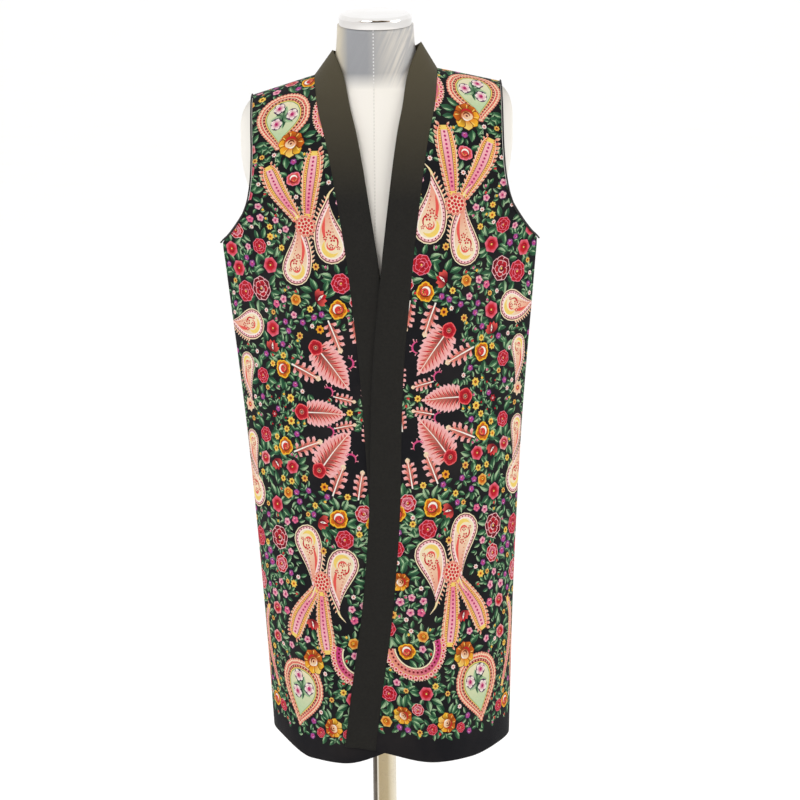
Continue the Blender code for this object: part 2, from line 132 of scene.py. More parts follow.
SEAM_ROWS = (
    (1.4020, 0.0905, 0.0905),
    (1.3560, 0.0855, 0.0855),
    (1.3050, 0.0745, 0.0745),
    (1.2230, 0.0610, 0.0610),
    (1.1060, 0.0450, 0.0450),
    (0.9310, 0.0280, 0.0310),
    (0.7820, 0.0220, 0.0245),
    (0.6310, 0.0090, 0.0185),
    (0.4815, -0.0110, 0.0145),
    (HEM_Z, -0.0235, 0.0125),
)
# Long folds that the solids have too: the side, which is -1 for the front, the x of the middle, the half
# width, how far the fold stands out at the hem, and the z where it starts
FOLD_ROWS = (
    (-1, -0.080, 0.034, 0.0080, 0.90),
    (-1, 0.000, 0.034, -0.0060, 0.85),
    (-1, 0.092, 0.036, 0.0060, 0.80),
    (1, -0.078, 0.036, 0.0080, 0.95),
    (1, -0.004, 0.034, -0.0060, 0.95),
    (1, 0.074, 0.036, 0.0075, 0.90),
)
# Softer creases that only the looks have: the side, the x and z of both ends, the half width and how far
# the crease stands out. The small ones by the hem are the pull of its seam.
CREASE_ROWS = (
    (-1, -0.205, 1.130, -0.090, 1.040, 0.016, 0.0022),
    (-1, 0.205, 1.135, 0.085, 1.060, 0.015, 0.0020),
    (-1, -0.190, 1.060, -0.105, 0.960, 0.014, -0.0018),
    (-1, 0.185, 1.070, 0.120, 0.930, 0.015, -0.0020),
    (-1, -0.150, 0.960, -0.140, 0.560, 0.013, 0.0026),
    (-1, -0.118, 0.900, -0.112, 0.430, 0.012, -0.0024),
    (-1, 0.140, 0.930, 0.150, 0.520, 0.013, 0.0028),
    (-1, 0.060, 0.780, 0.052, 0.410, 0.011, 0.0022),
    (-1, -0.050, 0.700, -0.045, 0.420, 0.010, 0.0020),
    (-1, 0.112, 0.800, 0.122, 0.440, 0.011, -0.0022),
    (-1, 0.010, 0.470, 0.048, 0.420, 0.007, 0.0020),
    (-1, 0.036, 0.480, 0.078, 0.425, 0.006, -0.0018),
    (-1, 0.075, 0.455, 0.100, 0.405, 0.006, 0.0016),
    (-1, -0.080, 0.450, -0.045, 0.410, 0.007, 0.0018),
    (-1, -0.125, 0.470, -0.100, 0.420, 0.007, -0.0016),
    (-1, -0.140, 1.290, -0.110, 1.200, 0.012, 0.0012),
    (-1, 0.145, 1.280, 0.112, 1.190, 0.012, 0.0013),
    (1, -0.190, 1.150, -0.070, 1.060, 0.016, 0.0024),
    (1, 0.190, 1.140, 0.060, 1.070, 0.016, 0.0022),
    (1, -0.160, 1.060, -0.080, 0.960, 0.014, -0.0018),
    (1, 0.150, 1.050, 0.095, 0.950, 0.014, -0.0020),
    (1, -0.135, 0.930, -0.128, 0.500, 0.013, 0.0028),
    (1, 0.130, 0.940, 0.124, 0.480, 0.013, 0.0028),
    (1, -0.045, 0.820, -0.040, 0.420, 0.012, 0.0026),
    (1, 0.040, 0.860, 0.036, 0.430, 0.012, 0.0024),
    (1, 0.100, 0.760, 0.104, 0.430, 0.011, -0.0022),
    (1, -0.102, 0.780, -0.106, 0.440, 0.011, -0.0024),
    (1, -0.070, 1.330, -0.040, 1.230, 0.014, 0.0012),
    (1, 0.065, 1.335, 0.038, 1.235, 0.014, 0.0012),
    (1, -0.030, 0.480, 0.000, 0.420, 0.007, 0.0018),
    (1, 0.050, 0.470, 0.084, 0.415, 0.007, 0.0016),
    (1, -0.100, 0.465, -0.070, 0.410, 0.007, -0.0016),
)


def smooth_step(value):
    """0 below 0, 1 above 1, and a soft S between."""
    held = np.clip(value, 0.0, 1.0)
    return held * held * (3.0 - 2.0 * held)


def monotone_curve(knots, values, at):
    """Reads a smooth curve through (knots, values) that never swings past them."""
    step = np.diff(knots)
    rise = np.diff(values) / step
    slope = np.zeros(len(knots))
    same = rise[:-1] * rise[1:] > 0
    before = 2 * step[1:] + step[:-1]
    after = step[1:] + 2 * step[:-1]
    with np.errstate(divide="ignore", invalid="ignore"):
        mean = (before + after) / (before / rise[:-1] + after / rise[1:])
    slope[1:-1] = np.where(same, mean, 0.0)
    slope[0], slope[-1] = rise[0], rise[-1]
    at = np.clip(np.asarray(at, dtype=float), knots[0], knots[-1])
    place = np.clip(np.searchsorted(knots, at, side="right") - 1, 0, len(step) - 1)
    part = (at - knots[place]) / step[place]
    low, high = values[place], values[place + 1]
    bend_low, bend_high = slope[place] * step[place], slope[place + 1] * step[place]
    square, cube = part**2, part**3
    return (
        low * (2 * cube - 3 * square + 1)
        + bend_low * (cube - 2 * square + part)
        + high * (3 * square - 2 * cube)
        + bend_high * (cube - square)
    )


def unit(vectors):
    """Vectors of length 1 along those given."""
    return vectors / np.maximum(np.linalg.norm(vectors, axis=1), 1e-12)[:, None]


def run_along(points):
    """The distance of each point from the first, along the line through them."""
    return np.concatenate([[0.0], np.cumsum(np.linalg.norm(np.diff(points, axis=0), axis=1))])


def smooth_mesh(name, points, faces):
    """A smoothly shaded mesh."""
    mesh = bpy.data.meshes.new(name)
    mesh.from_pydata(points, [], faces)
    mesh.shade_smooth()
    return mesh


def table(columns, rows):
    """A table of rows as one array for each named column."""
    return {name: np.array([row[place] for row in rows]) for place, name in enumerate(columns)}


CLOTH = table(CLOTH_COLUMNS, CLOTH_ROWS)
SEAMS = table(SEAM_COLUMNS, SEAM_ROWS)
DOWN = np.concatenate([[0.0], np.cumsum(np.hypot(np.diff(CLOTH["z"]), np.diff(CLOTH["front"])))])
LENGTH = DOWN[-1]
UNDERARM = DOWN[UNDERARM_ROW]


def at_distance(name, down):
    """A column of the cloth's table at a distance down from the shoulder line."""
    return monotone_curve(DOWN, CLOTH[name], down)


def seam_place(name, down):
    """Where the front named top or under meets its band, as a share of the half width."""
    z = at_distance("z", down)
    return monotone_curve(-SEAMS["z"], SEAMS[name], -z) / at_distance("half", down)


def soft_distance(x):
    """The distance from the middle, rounded off at the middle."""
    reach = math.hypot(SHOULDER_NECK_X, MIDDLE_ROUND) - SHOULDER_NECK_X
    return np.sqrt(x * x + MIDDLE_ROUND**2) - reach


def hem_rise(x, down, layer):
    """How far the cloth is lifted near its hem, at the sides and at the crossed front edges."""
    ramp = smooth_step((down - (LENGTH - HEM_RAMP)) / HEM_RAMP)
    rise = np.where(x < 0, SIDE_RISE[-1], SIDE_RISE[1])
    rise = rise * smooth_step((np.abs(x) - SIDE_RISE_FROM_X) / SIDE_RISE_WIDTH)
    if layer == "top":
        rise = rise + EDGE_RISE * smooth_step((TOP_RISE_FROM_X - x) / TOP_RISE_WIDTH)
    if layer == "under":
        rise = rise + EDGE_RISE * smooth_step((x - UNDER_RISE_FROM_X) / UNDER_RISE_WIDTH)
    return rise * ramp


def fold_depth(side, x, z):
    """How far the long folds and the soft creases move the cloth out."""
    out = np.zeros(np.broadcast(x, z).shape)
    for fold_side, middle, width, crest, top_z in FOLD_ROWS:
        if fold_side == side:
            along = smooth_step((top_z - z) / (top_z - HEM_Z))
            out = out + crest * along * np.exp(-(((x - middle) / width) ** 2))
    for crease_side, x_0, z_0, x_1, z_1, width, crest in CREASE_ROWS:
        if crease_side == side:
            run_x, run_z = x_1 - x_0, z_1 - z_0
            long = math.hypot(run_x, run_z)
            along = ((x - x_0) * run_x + (z - z_0) * run_z) / long**2
            off = ((x - x_0) * run_z - (z - z_0) * run_x) / long
            fade = np.exp(-(((along - 0.5) / CREASE_REACH) ** 4))
            out = out + crest * fade * np.exp(-((off / width) ** 2))
    return out


def cloth_points(side, down, across, layer="plain"):
    """Points of the cloth's outer face. side is -1 for the front and 1 for the back, down is the distance
    from the shoulder line, and across runs from -1 to 1 over the section's width."""
    half, edge, power = (at_distance(name, down) for name in ("half", "edge", "power"))
    depth = at_distance("front" if side < 0 else "back", down)
    slope = at_distance("slope", down)
    x = half * across
    bulge = np.maximum(1.0 - across**2, 0.0) ** power
    fade = slope / CLOTH["slope"][0]
    z = at_distance("z", down) - slope * (soft_distance(x) - SHOULDER_NECK_X) + SHOULDER_TILT * fade * x
    clear = smooth_step((1.0 - np.abs(across)) / FOLD_CLEAR_SHARE)
    y = side * (edge + (depth - edge) * bulge + clear * fold_depth(side, x, z))
    if layer == "top":
        over_x = smooth_step((OVERLAP_END_X - x) / (OVERLAP_END_X - OVERLAP_FULL_X))
        over_z = smooth_step((OVERLAP_END_Z - z) / (OVERLAP_END_Z - OVERLAP_FULL_Z))
        y = y - OVERLAP_LIFT * over_x * over_z
    return np.stack([x + LEAN * (SHOULDER_NECK_Z - z), y, z + hem_rise(x, down, layer)], axis=-1)


def back_neckline(across):
    """The distance down at which the back starts, which is nothing outside the neck."""
    inside = np.clip(np.abs(across) * CLOTH["half"][0] / SHOULDER_NECK_X, 0.0, 1.0)
    return BACK_NECK_DROP * np.sqrt(1.0 - inside**2)


class ClothMap:
    """Goes between one panel's flat cut, in millimetres, and the worn cloth. b is the distance along the
    cloth from the middle line, less than 0 towards -X, and s the distance down from the shoulder line."""

    ROWS = 320
    COLUMNS = 401

    def __init__(self, side, layer):
        self.side = side
        self.layer = layer
        down = np.linspace(0.0, LENGTH, self.ROWS)[:, None]
        turn = np.linspace(-math.pi / 2, math.pi / 2, self.COLUMNS)
        grid = cloth_points(side, down, np.sin(turn)[None, :], layer)
        arc = np.cumsum(np.linalg.norm(np.diff(grid, axis=1), axis=2), axis=1) * 1000.0
        arc = np.concatenate([np.zeros((self.ROWS, 1)), arc], axis=1)
        self.arc = arc - arc[:, [self.COLUMNS // 2]]
        share = np.linspace(-1.0, 1.0, self.COLUMNS)
        self.left, self.right = -self.arc[:, 0], self.arc[:, -1]
        self.turns = np.stack(
            [
                np.interp(np.where(share < 0, share * left, share * right), row, turn)
                for left, right, row in zip(self.left, self.right, self.arc)
            ]
        )

    def read(self, grid, row, column):
        """A grid's value between its rows and columns."""
        row = np.clip(row, 0, self.ROWS - 1.000001)
        column = np.clip(column, 0, self.COLUMNS - 1.000001)
        top, start = row.astype(int), column.astype(int)
        down, along = row - top, column - start
        upper = grid[top, start] * (1 - along) + grid[top, start + 1] * along
        lower = grid[top + 1, start] * (1 - along) + grid[top + 1, start + 1] * along
        return upper * (1 - down) + lower * down

    def flat(self, across, down):
        """The flat place of a point of the worn cloth."""
        across, down = np.broadcast_arrays(np.asarray(across, float), np.asarray(down, float))
        row = down / LENGTH * (self.ROWS - 1)
        turn = np.arcsin(np.clip(across, -1.0, 1.0))
        b = self.read(self.arc, row, (turn / math.pi + 0.5) * (self.COLUMNS - 1))
        return np.stack([b, down * 1000.0], axis=-1)

    def point(self, flat):
        """Points of the worn cloth at flat places."""
        row = np.clip(flat[:, 1] / 1000.0 / LENGTH, 0.0, 1.0) * (self.ROWS - 1)
        reach = np.where(
            flat[:, 0] < 0,
            np.interp(row, np.arange(self.ROWS), self.left),
            np.interp(row, np.arange(self.ROWS), self.right),
        )
        share = np.clip(flat[:, 0] / reach, -1.0, 1.0)
        turn = self.read(self.turns, row, (share + 1) / 2 * (self.COLUMNS - 1))
        down = np.clip(flat[:, 1] / 1000.0, 0.0, LENGTH)
        return cloth_points(self.side, down, np.sin(turn), self.layer)

    def worn(self, flat):
        """Points of the worn cloth and their outward normals at flat places."""
        step = np.array([NORMAL_STEP, 0.0])
        over = self.point(flat + step) - self.point(flat - step)
        down = self.point(flat + step[::-1]) - self.point(flat - step[::-1])
        normal = np.cross(down, over) * -self.side
        return self.point(flat), unit(normal)


# Colours of the print, as the eye sees them
INK = {
    "ground": (24, 24, 28),
    "crimson": (116, 12, 30),
    "red": (204, 30, 44),
    "coral": (236, 92, 84),
    "pink": (240, 128, 152),
    "blush": (250, 196, 200),
    "magenta": (206, 62, 128),
    "plum": (84, 34, 88),
    "violet": (142, 86, 158),
    "salmon": (236, 148, 128),
    "cream": (248, 232, 196),
    "white": (252, 246, 236),
    "straw": (246, 214, 112),
    "yellow": (248, 190, 52),
    "orange": (222, 112, 28),
    "brown": (112, 44, 16),
    "pine": (16, 44, 32),
    "green": (54, 104, 72),
    "leaf": (104, 156, 108),
    "mint": (182, 212, 168),
}


def linear(colour):
    """A 0 to 255 screen colour as the renderer's linear one."""
    value = np.array(colour, float) / 255.0
    return np.where(value <= 0.04045, value / 12.92, ((value + 0.055) / 1.055) ** 2.4)


INK = {name: linear(colour) for name, colour in INK.items()}


def oval(at, across, up, turn=0.0, steps=10):
    """Points round an ellipse."""
    angle = np.linspace(0.0, 2 * math.pi, steps, endpoint=False)
    x, y = across * np.cos(angle), up * np.sin(angle)
    c, s = math.cos(turn), math.sin(turn)
    return np.stack([at[0] + x * c - y * s, at[1] + x * s + y * c], axis=1)


def drop(long, wide, widest=0.5, steps=5, bend=0.0):
    """A leaf or petal from the origin along +x, widest at that share of its length."""
    share = np.linspace(0.0, 1.0, steps + 1)
    half = wide / 2 * np.sin(math.pi * share ** (math.log(0.5) / math.log(widest)))
    middle = bend * long * share**2
    upper = np.stack([share * long, middle + half], axis=1)
    lower = np.stack([share * long, middle - half], axis=1)
    return np.concatenate([upper, lower[-2:0:-1]])


def arc(at, radius, start, end, steps=8):
    """Points along part of a circle, angles in degrees."""
    angle = np.radians(np.linspace(start, end, steps))
    return np.stack([at[0] + radius * np.cos(angle), at[1] + radius * np.sin(angle)], axis=1)


def curve_through(points, steps):
    """Evenly spread points of a smooth curve through a few given ones."""
    points = np.array(points, float)
    far = run_along(points)
    at = np.linspace(0.0, far[-1], steps)
    ends = np.concatenate([[2 * points[0] - points[1]], points, [2 * points[-1] - points[-2]]])
    place = np.clip(np.searchsorted(far, at, side="right") - 1, 0, len(far) - 2)
    part = ((at - far[place]) / np.diff(far)[place])[:, None]
    before, low, high, after = (ends[place + k] for k in range(4))
    return 0.5 * (
        2 * low
        + (high - before) * part
        + (2 * before - 5 * low + 4 * high - after) * part**2
        + (3 * low - before - 3 * high + after) * part**3
    )


def sides_of(line):
    """Unit vectors square to a line at each of its points."""
    along = np.gradient(line, axis=0)
    along = along / np.maximum(np.linalg.norm(along, axis=1), 1e-9)[:, None]
    return np.stack([-along[:, 1], along[:, 0]], axis=1)


def ribbon(line, wide):
    """A stroke along a line. wide is one width or one for each point."""
    off = sides_of(line)
    half = np.broadcast_to(np.asarray(wide, float) / 2, len(line))[:, None]
    return np.concatenate([line + off * half, (line - off * half)[::-1]])


def tapered(line, wide):
    """A stroke that is pointed at both ends."""
    return ribbon(line, wide * np.sin(np.linspace(0.06, math.pi - 0.06, len(line))))


def around(count, radius, start=0.0):
    """Places evenly spread round the origin."""
    angles = [2 * math.pi * (k + start) / count for k in range(count)]
    return [(radius * math.cos(angle), radius * math.sin(angle)) for angle in angles]


class Pen:
    """Draws a motif in its own plane onto the flat cloth. Shapes drawn later lie over earlier ones."""

    def __init__(self, shapes, at=(0.0, 0.0), turn=0.0, size=1.0, flip=False):
        c, s = math.cos(math.radians(turn)) * size, math.sin(math.radians(turn)) * size
        self.shapes = shapes
        self.matrix = np.array([[c, -s], [s, c]]) @ np.diag([1.0, -1.0 if flip else 1.0])
        self.origin = np.array(at, float)

    def child(self, at=(0.0, 0.0), turn=0.0, size=1.0, flip=False):
        """A pen placed within this one."""
        made = Pen(self.shapes, at, turn, size, flip)
        made.origin = self.to(at)
        made.matrix = self.matrix @ made.matrix
        return made

    def to(self, points):
        return np.asarray(points, float) @ self.matrix.T + self.origin

    def fill(self, points, ink, far_ink=None, start=(0.0, 0.0), end=(1.0, 0.0)):
        """Fills an outline with one ink, or with one that turns into another from start to end."""
        near = INK[ink]
        far = INK[far_ink or ink]
        self.shapes.append((self.to(points), near, far, self.to(start), self.to(end)))

    def disc(self, at, radius, steps, ink):
        """Fills a circle."""
        self.fill(oval(at, radius, radius, steps=steps), ink)

    def stroke(self, at, radius, start, end, steps, wide, ink):
        """Fills a curved stroke that is pointed at both ends."""
        self.fill(tapered(arc(at, radius, start, end, steps), wide), ink)

    def ring(self, count, start=0):
        """Pens turned evenly round this one."""
        return [self.child(turn=360 * k / count + start) for k in range(count)]


def leaf(pen, light="leaf", dark="pine"):
    """A leaf one unit long: its body, a darker half and a pale stroke."""
    pen.fill(drop(1.0, 0.52, 0.42, 4, 0.10), "green", light)
    pen.fill(drop(0.96, 0.52, 0.42, 4, 0.10)[:5], dark, "green")
    pen.fill(drop(0.62, 0.09, 0.5, 2, 0.05) + (0.22, -0.10), "mint")


def daisy(pen, petals, ink, far_ink, heart, core):
    """A small flower of narrow petals round a button."""
    for petal in pen.ring(petals):
        petal.fill(drop(1.0, 0.62, 0.62, 3), ink, far_ink)
    pen.disc((0, 0), 0.34, 7, heart)
    pen.disc((0, 0), 0.15, 5, core)


def rose(pen, shade, body, bright, rim, petals=7):
    """A full rose seen from the front, its petals edged with a pale line."""
    for k in range(petals):
        petal = pen.child(turn=360 * (k + 0.13 * (k % 2)) / petals)
        petal.fill(drop(0.86, 0.98, 0.66, 5) + (0.20, 0), rim)
        petal.fill(drop(0.80, 0.84, 0.66, 5) + (0.20, 0), shade, body, (0.3, 0), (0.95, 0))
    for petal in pen.ring(5, 25):
        petal.fill(drop(0.66, 0.74, 0.66, 4) + (0.08, 0), rim)
        petal.fill(drop(0.61, 0.62, 0.66, 4) + (0.08, 0), shade, bright, (0.1, 0), (0.68, 0))
    pen.fill(oval((0.02, 0.0), 0.40, 0.38, steps=11), shade, body, (-0.4, 0), (0.4, 0))
    for radius, start, sweep, wide, ink in (
        (0.33, 20, 170, 0.11, rim),
        (0.28, 215, 120, 0.10, bright),
        (0.19, 120, 190, 0.09, rim),
    ):
        pen.stroke((0.02, 0), radius, start, start + sweep, 8, wide, ink)
    pen.disc((0.02, 0.0), 0.10, 6, "straw")


def small_rose(pen, shade, body, bright, rim):
    """A rose with few petals, for the places between the larger flowers."""
    for petal in pen.ring(6):
        petal.fill(drop(0.84, 0.98, 0.66, 3) + (0.16, 0), body, rim, (0.55, 0), (0.95, 0))
    pen.fill(oval((0, 0), 0.52, 0.48, steps=8), shade, body, (-0.5, 0), (0.5, 0))
    pen.stroke((0, 0), 0.32, 20, 250, 6, 0.16, bright)
    pen.disc((0, 0), 0.13, 5, "straw")


def cup_rose(pen, shade, body, bright, cup, lip):
    """A rose seen a little from the side: bright outer petals round a cup with a pale lip."""
    for petal, long in zip(pen.ring(7, 10), (1.0, 0.92, 1.06, 0.9, 1.0, 1.08, 0.94)):
        petal.fill(drop(long * 0.82, 0.92, 0.68, 5) + (0.18, 0), bright)
        petal.fill(drop(long * 0.72, 0.70, 0.62, 4) + (0.16, 0), shade, body, (0.2, 0), (0.8, 0))
    pen.fill(oval((0, 0), 0.60, 0.52, 0.5, 12), shade)
    pen.fill(oval((0.02, 0.03), 0.50, 0.42, 0.5, 12), cup, "coral", (-0.5, -0.3), (0.5, 0.4))
    pen.stroke((0, 0), 0.46, 60, 260, 11, 0.24, lip)
    pen.stroke((0.05, 0.0), 0.20, -60, 150, 8, 0.12, shade)
    for x, y in ((0.24, -0.12), (0.30, 0.06), (0.20, 0.20), (0.08, -0.20)):
        pen.disc((x, y), 0.055, 5, "straw")


def poppy(pen):
    """A flat red flower with pink edges and a dark heart."""
    for petal in pen.ring(5, -90):
        petal.fill(drop(0.92, 1.14, 0.64, 6) + (0.06, 0), "pink", "coral")
        petal.fill(drop(0.80, 0.96, 0.62, 5) + (0.06, 0), "crimson", "red", (0.2, 0), (0.7, 0))
    pen.fill(oval((0, 0), 0.36, 0.34, steps=10), "coral")
    pen.fill(oval((0, 0), 0.28, 0.27, steps=9), "brown")
    for at in around(7, 0.20):
        pen.disc(at, 0.04, 4, "cream")
    pen.disc((0, 0), 0.09, 5, "blush")


def tulip(pen):
    """A red flower seen from the side, with a white flash in its throat."""
    for turn, long in ((-48, 0.95), (48, 0.95), (-24, 1.05), (24, 1.05), (0, 1.1)):
        petal = pen.child((-0.5, 0), turn)
        tip = "coral" if turn else "red"
        petal.fill(drop(long + 0.35, 0.66, 0.6, 5), "crimson", tip, (0.3, 0), (1.3, 0))
    stroke = curve_through([(-0.25, -0.22), (0.15, 0.0), (0.62, 0.16)], 8)
    pen.fill(tapered(stroke, 0.24), "white")
    pen.fill(tapered(curve_through([(-0.22, 0.16), (0.10, 0.24), (0.5, 0.30)], 6), 0.14), "crimson")
    pen.fill(oval((0.12, -0.02), 0.10, 0.07, steps=6), "plum")


def anemone(pen, petal_ink="blush"):
    """A small pink flower on a dark violet ground."""
    pen.fill(oval((0, 0), 1.05, 0.92, steps=11), "plum")
    for petal in pen.ring(5, 15):
        petal.fill(drop(0.92, 0.82, 0.62, 4) + (0.04, 0), "magenta", petal_ink, (0.15, 0), (0.75, 0))
    pen.fill(oval((0, 0), 0.34, 0.26, 0.6, 8), "magenta")
    pen.fill(oval((0.03, 0), 0.15, 0.12, steps=5), "crimson")
    pen.stroke((0, 0), 0.40, 190, 300, 5, 0.12, "white")


def orange_rose(pen):
    """The large warm rose: yellow skirts below, russet petals above and cream folds between them."""
    for turn, long, ink, far in (
        (200, 0.95, "brown", "orange"),
        (245, 0.98, "brown", "orange"),
        (290, 0.95, "brown", "orange"),
        (335, 1.0, "orange", "yellow"),
        (20, 1.08, "orange", "yellow"),
        (62, 1.16, "orange", "straw"),
        (104, 1.12, "brown", "yellow"),
        (150, 1.0, "brown", "orange"),
    ):
        petal = pen.child(turn=turn)
        petal.fill(drop(long * 0.9, 0.86, 0.66, 5) + (0.12, 0), "brown")
        petal.fill(drop(long * 0.86, 0.74, 0.68, 5) + (0.13, 0), ink, far, (0.3, 0), (0.95, 0))
        petal.fill(drop(long * 0.4, 0.10, 0.6, 3) + (0.5, 0.1), "straw")
    pen.fill(oval((0, -0.08), 0.56, 0.48, -0.4, 12), "brown", "orange", (-0.5, -0.4), (0.5, 0.3))
    pen.fill(oval((0.06, 0.02), 0.44, 0.34, -0.4, 11), "orange", "cream", (-0.4, -0.2), (0.45, 0.2))
    pen.stroke((0.0, -0.08), 0.40, 170, 330, 8, 0.16, "red")
    pen.stroke((0.02, 0.02), 0.24, 150, 350, 8, 0.13, "brown")
    pen.stroke((0.04, 0.06), 0.30, 20, 150, 7, 0.12, "white")
    pen.fill(oval((0.04, 0.02), 0.10, 0.08, steps=6), "crimson")


def plume(pen, lobes=10, wide=0.54):
    """A feathered leaf from the origin to (1, 0), its lobes longest near the base."""
    vein = curve_through([(0.0, 0.0), (0.5, 0.015), (1.0, 0.0)], 8)
    pen.fill(drop(1.0, wide * 0.55, 0.36, 7), "crimson", "salmon")
    for k in range(lobes):
        share = (k + 0.3) / lobes
        reach = wide * 0.60 * math.sin(math.pi * (0.16 + 0.80 * share) ** 0.72) + 0.05
        for hand in (-1, 1):
            lobe = pen.child((share * 0.93, 0.0), hand * (68 - 34 * share), reach)
            bend, least = 0.10 * hand, max(reach, 0.1)
            lobe.fill(drop(1.0, 0.15 / least * 0.92, 0.72, 4, bend), "salmon", "blush", (0.2, 0), (1, 0))
            lobe.fill(drop(0.8, 0.03 / least, 0.6, 2, bend), "red")
    tip = pen.child((0.90, 0.0))
    tip.fill(drop(0.16, 0.07, 0.6, 3), "salmon", "blush", (0, 0), (0.15, 0))
    pen.fill(ribbon(vein, np.linspace(0.030, 0.008, 8)), "white")


def oak(pen, lobes=4, wide=0.62):
    """A small leaf from the origin to (1, 0) with a few rounded lobes."""
    pen.fill(drop(1.0, wide * 0.36, 0.45, 5), "crimson", "salmon")
    for k in range(lobes):
        share = 0.10 + 0.76 * k / lobes
        reach = wide * (0.50 - 0.16 * abs(share - 0.45) * 2)
        for hand in (-1, 1):
            lobe = pen.child((share, 0.0), hand * (62 - 26 * share), reach)
            lobe.fill(drop(1.0, 0.50, 0.72, 4, 0.1 * hand), "salmon", "blush", (0.3, 0), (1, 0))
            lobe.fill(drop(0.72, 0.10, 0.6, 2, 0.1 * hand), "coral")
    pen.child((0.80, 0.0)).fill(drop(0.24, 0.17, 0.62, 4), "salmon", "cream", (0, 0), (0.2, 0))
    pen.fill(ribbon(np.array([(0.0, 0.0), (0.5, 0.01), (0.92, 0.0)]), (0.05, 0.035, 0.02)), "white")


def antler(pen):
    """A pink curl with short prongs."""
    line = arc((0, 0), 0.72, -70, 130, 10)
    pen.fill(tapered(line, 0.26), "pink", "magenta", (-0.5, -0.5), (0.5, 0.7))
    off = sides_of(line)
    for k, long in ((1, 0.34), (3, 0.42), (5, 0.36), (7, 0.44), (8, 0.30)):
        turn = math.degrees(math.atan2(-off[k][1], -off[k][0]))
        prong = pen.child(line[k], turn + 18, long)
        prong.fill(drop(1.0, 0.42, 0.5, 3), "pink")
        prong.disc((1.0, 0), 0.22, 5, "blush")


def dots(pen, line, every, radius, ink, shift=0.0, steps=5):
    """Dots evenly spaced along a line."""
    far = run_along(line)
    off = sides_of(line)
    for at in np.arange(every / 2, far[-1], every):
        point = [np.interp(at, far, (line + off * shift)[:, k]) for k in (0, 1)]
        pen.fill(oval(point, radius, radius, steps=steps), ink)


def boteh_outline(head, long, curl, inset, steps=15):
    """The outline of a paisley drop and its middle line. Its round head is at the origin and its tail
    runs along +x and curls towards +y."""
    radius = head - inset
    tail = long * (1.0 - 1.25 * inset / head * 0.5)
    share = np.linspace(0.0, 1.0, steps)
    middle = np.stack([share * tail, curl * tail * share**2.2], axis=1)
    half = radius * np.cos(share * math.pi / 2) ** 1.25
    off = sides_of(middle)
    cap = arc((0, 0), radius, 90, 270, 9)[1:-1]
    upper, lower = middle + off * half[:, None], middle - off * half[:, None]
    return np.concatenate([upper[::-1], cap, lower[:-1]]), middle, half


def paisley(pen, head, long, curl=0.32, field="cream"):
    """A paisley drop: a pale rim, a dotted border, a field with scrolls and a toothed back to its tail."""
    outline, middle, half = boteh_outline(head, long, curl, 0.0)
    off = sides_of(middle)
    for k in range(3, 14):
        root = middle[k] - off[k] * half[k] * 0.8
        turn = math.degrees(math.atan2(-off[k][1], -off[k][0]))
        tooth = pen.child(root, turn + 30, head * (0.50 - 0.018 * k))
        tooth.fill(drop(1.0, 0.40, 0.4, 3, 0.2), "coral", "cream", (0.1, 0), (0.9, 0))
    whip = curve_through([middle[-4], middle[-1], middle[-1] + (long * 0.10, long * 0.20)], 7)
    pen.fill(ribbon(whip, np.linspace(head * 0.26, head * 0.02, 7)), "straw", "cream", middle[-4], whip[-1])
    pen.fill(outline, "cream")
    for inset, ink in ((0.07, "crimson"), (0.13, "blush")):
        pen.fill(boteh_outline(head, long, curl, head * inset)[0], ink)
    border = boteh_outline(head, long, curl, head * 0.20, 12)[0]
    dots(pen, border, head * 0.23, head * 0.055, "crimson", steps=4)
    pen.fill(boteh_outline(head, long, curl, head * 0.27)[0], "white")
    pen.fill(boteh_outline(head, long, curl, head * 0.33)[0], field, "salmon", (0, 0), (long * 0.8, 0))
    pen.stroke((0.02 * head, 0), head * 0.52, 150, 330, 10, head * 0.28, "straw")
    pen.stroke((head * 0.10, 0), head * 0.26, 100, 340, 9, head * 0.12, "coral")
    pen.stroke((head * 0.25, head * 0.05), head * 0.42, 30, 160, 8, head * 0.10, "red")
    through = [(head * 0.35, -head * 0.25), (long * 0.40, -head * 0.1), (long * 0.62, long * curl * 0.3)]
    scroll = curve_through(through, 8)
    pen.fill(tapered(scroll, head * 0.20), "coral")
    for x, y, size in (
        (0.42, 0.22, 0.17),
        (0.05, -0.02, 0.13),
        (0.82, 0.12, 0.15),
        (-0.20, 0.36, 0.10),
        (0.62, -0.20, 0.12),
    ):
        daisy(pen.child((x * head, y * head), 20, size * head * 1.3), 5, "red", "red", "cream", "red")
    for k in range(7):
        at = middle[2 + k] + off[2 + k] * half[2 + k] * 0.38
        pen.disc(at, head * 0.045, 4, "red")


def rosette(pen):
    """A round knot of red beads on salmon."""
    for at in around(14, 0.88):
        pen.disc(at, 0.19, 7, "salmon")
    pen.disc((0, 0), 0.90, 20, "salmon")
    pen.disc((0, 0), 0.80, 18, "blush")
    for count, radius, size in ((11, 0.66, 0.17), (6, 0.33, 0.155)):
        for at in around(count, radius, 0.2):
            pen.disc(at, size + 0.04, 7, "cream")
            pen.fill(oval(at, size, size, steps=7), "red", "coral", at, (at[0] + 0.2, at[1]))
    pen.disc((0, 0), 0.14, 7, "red")


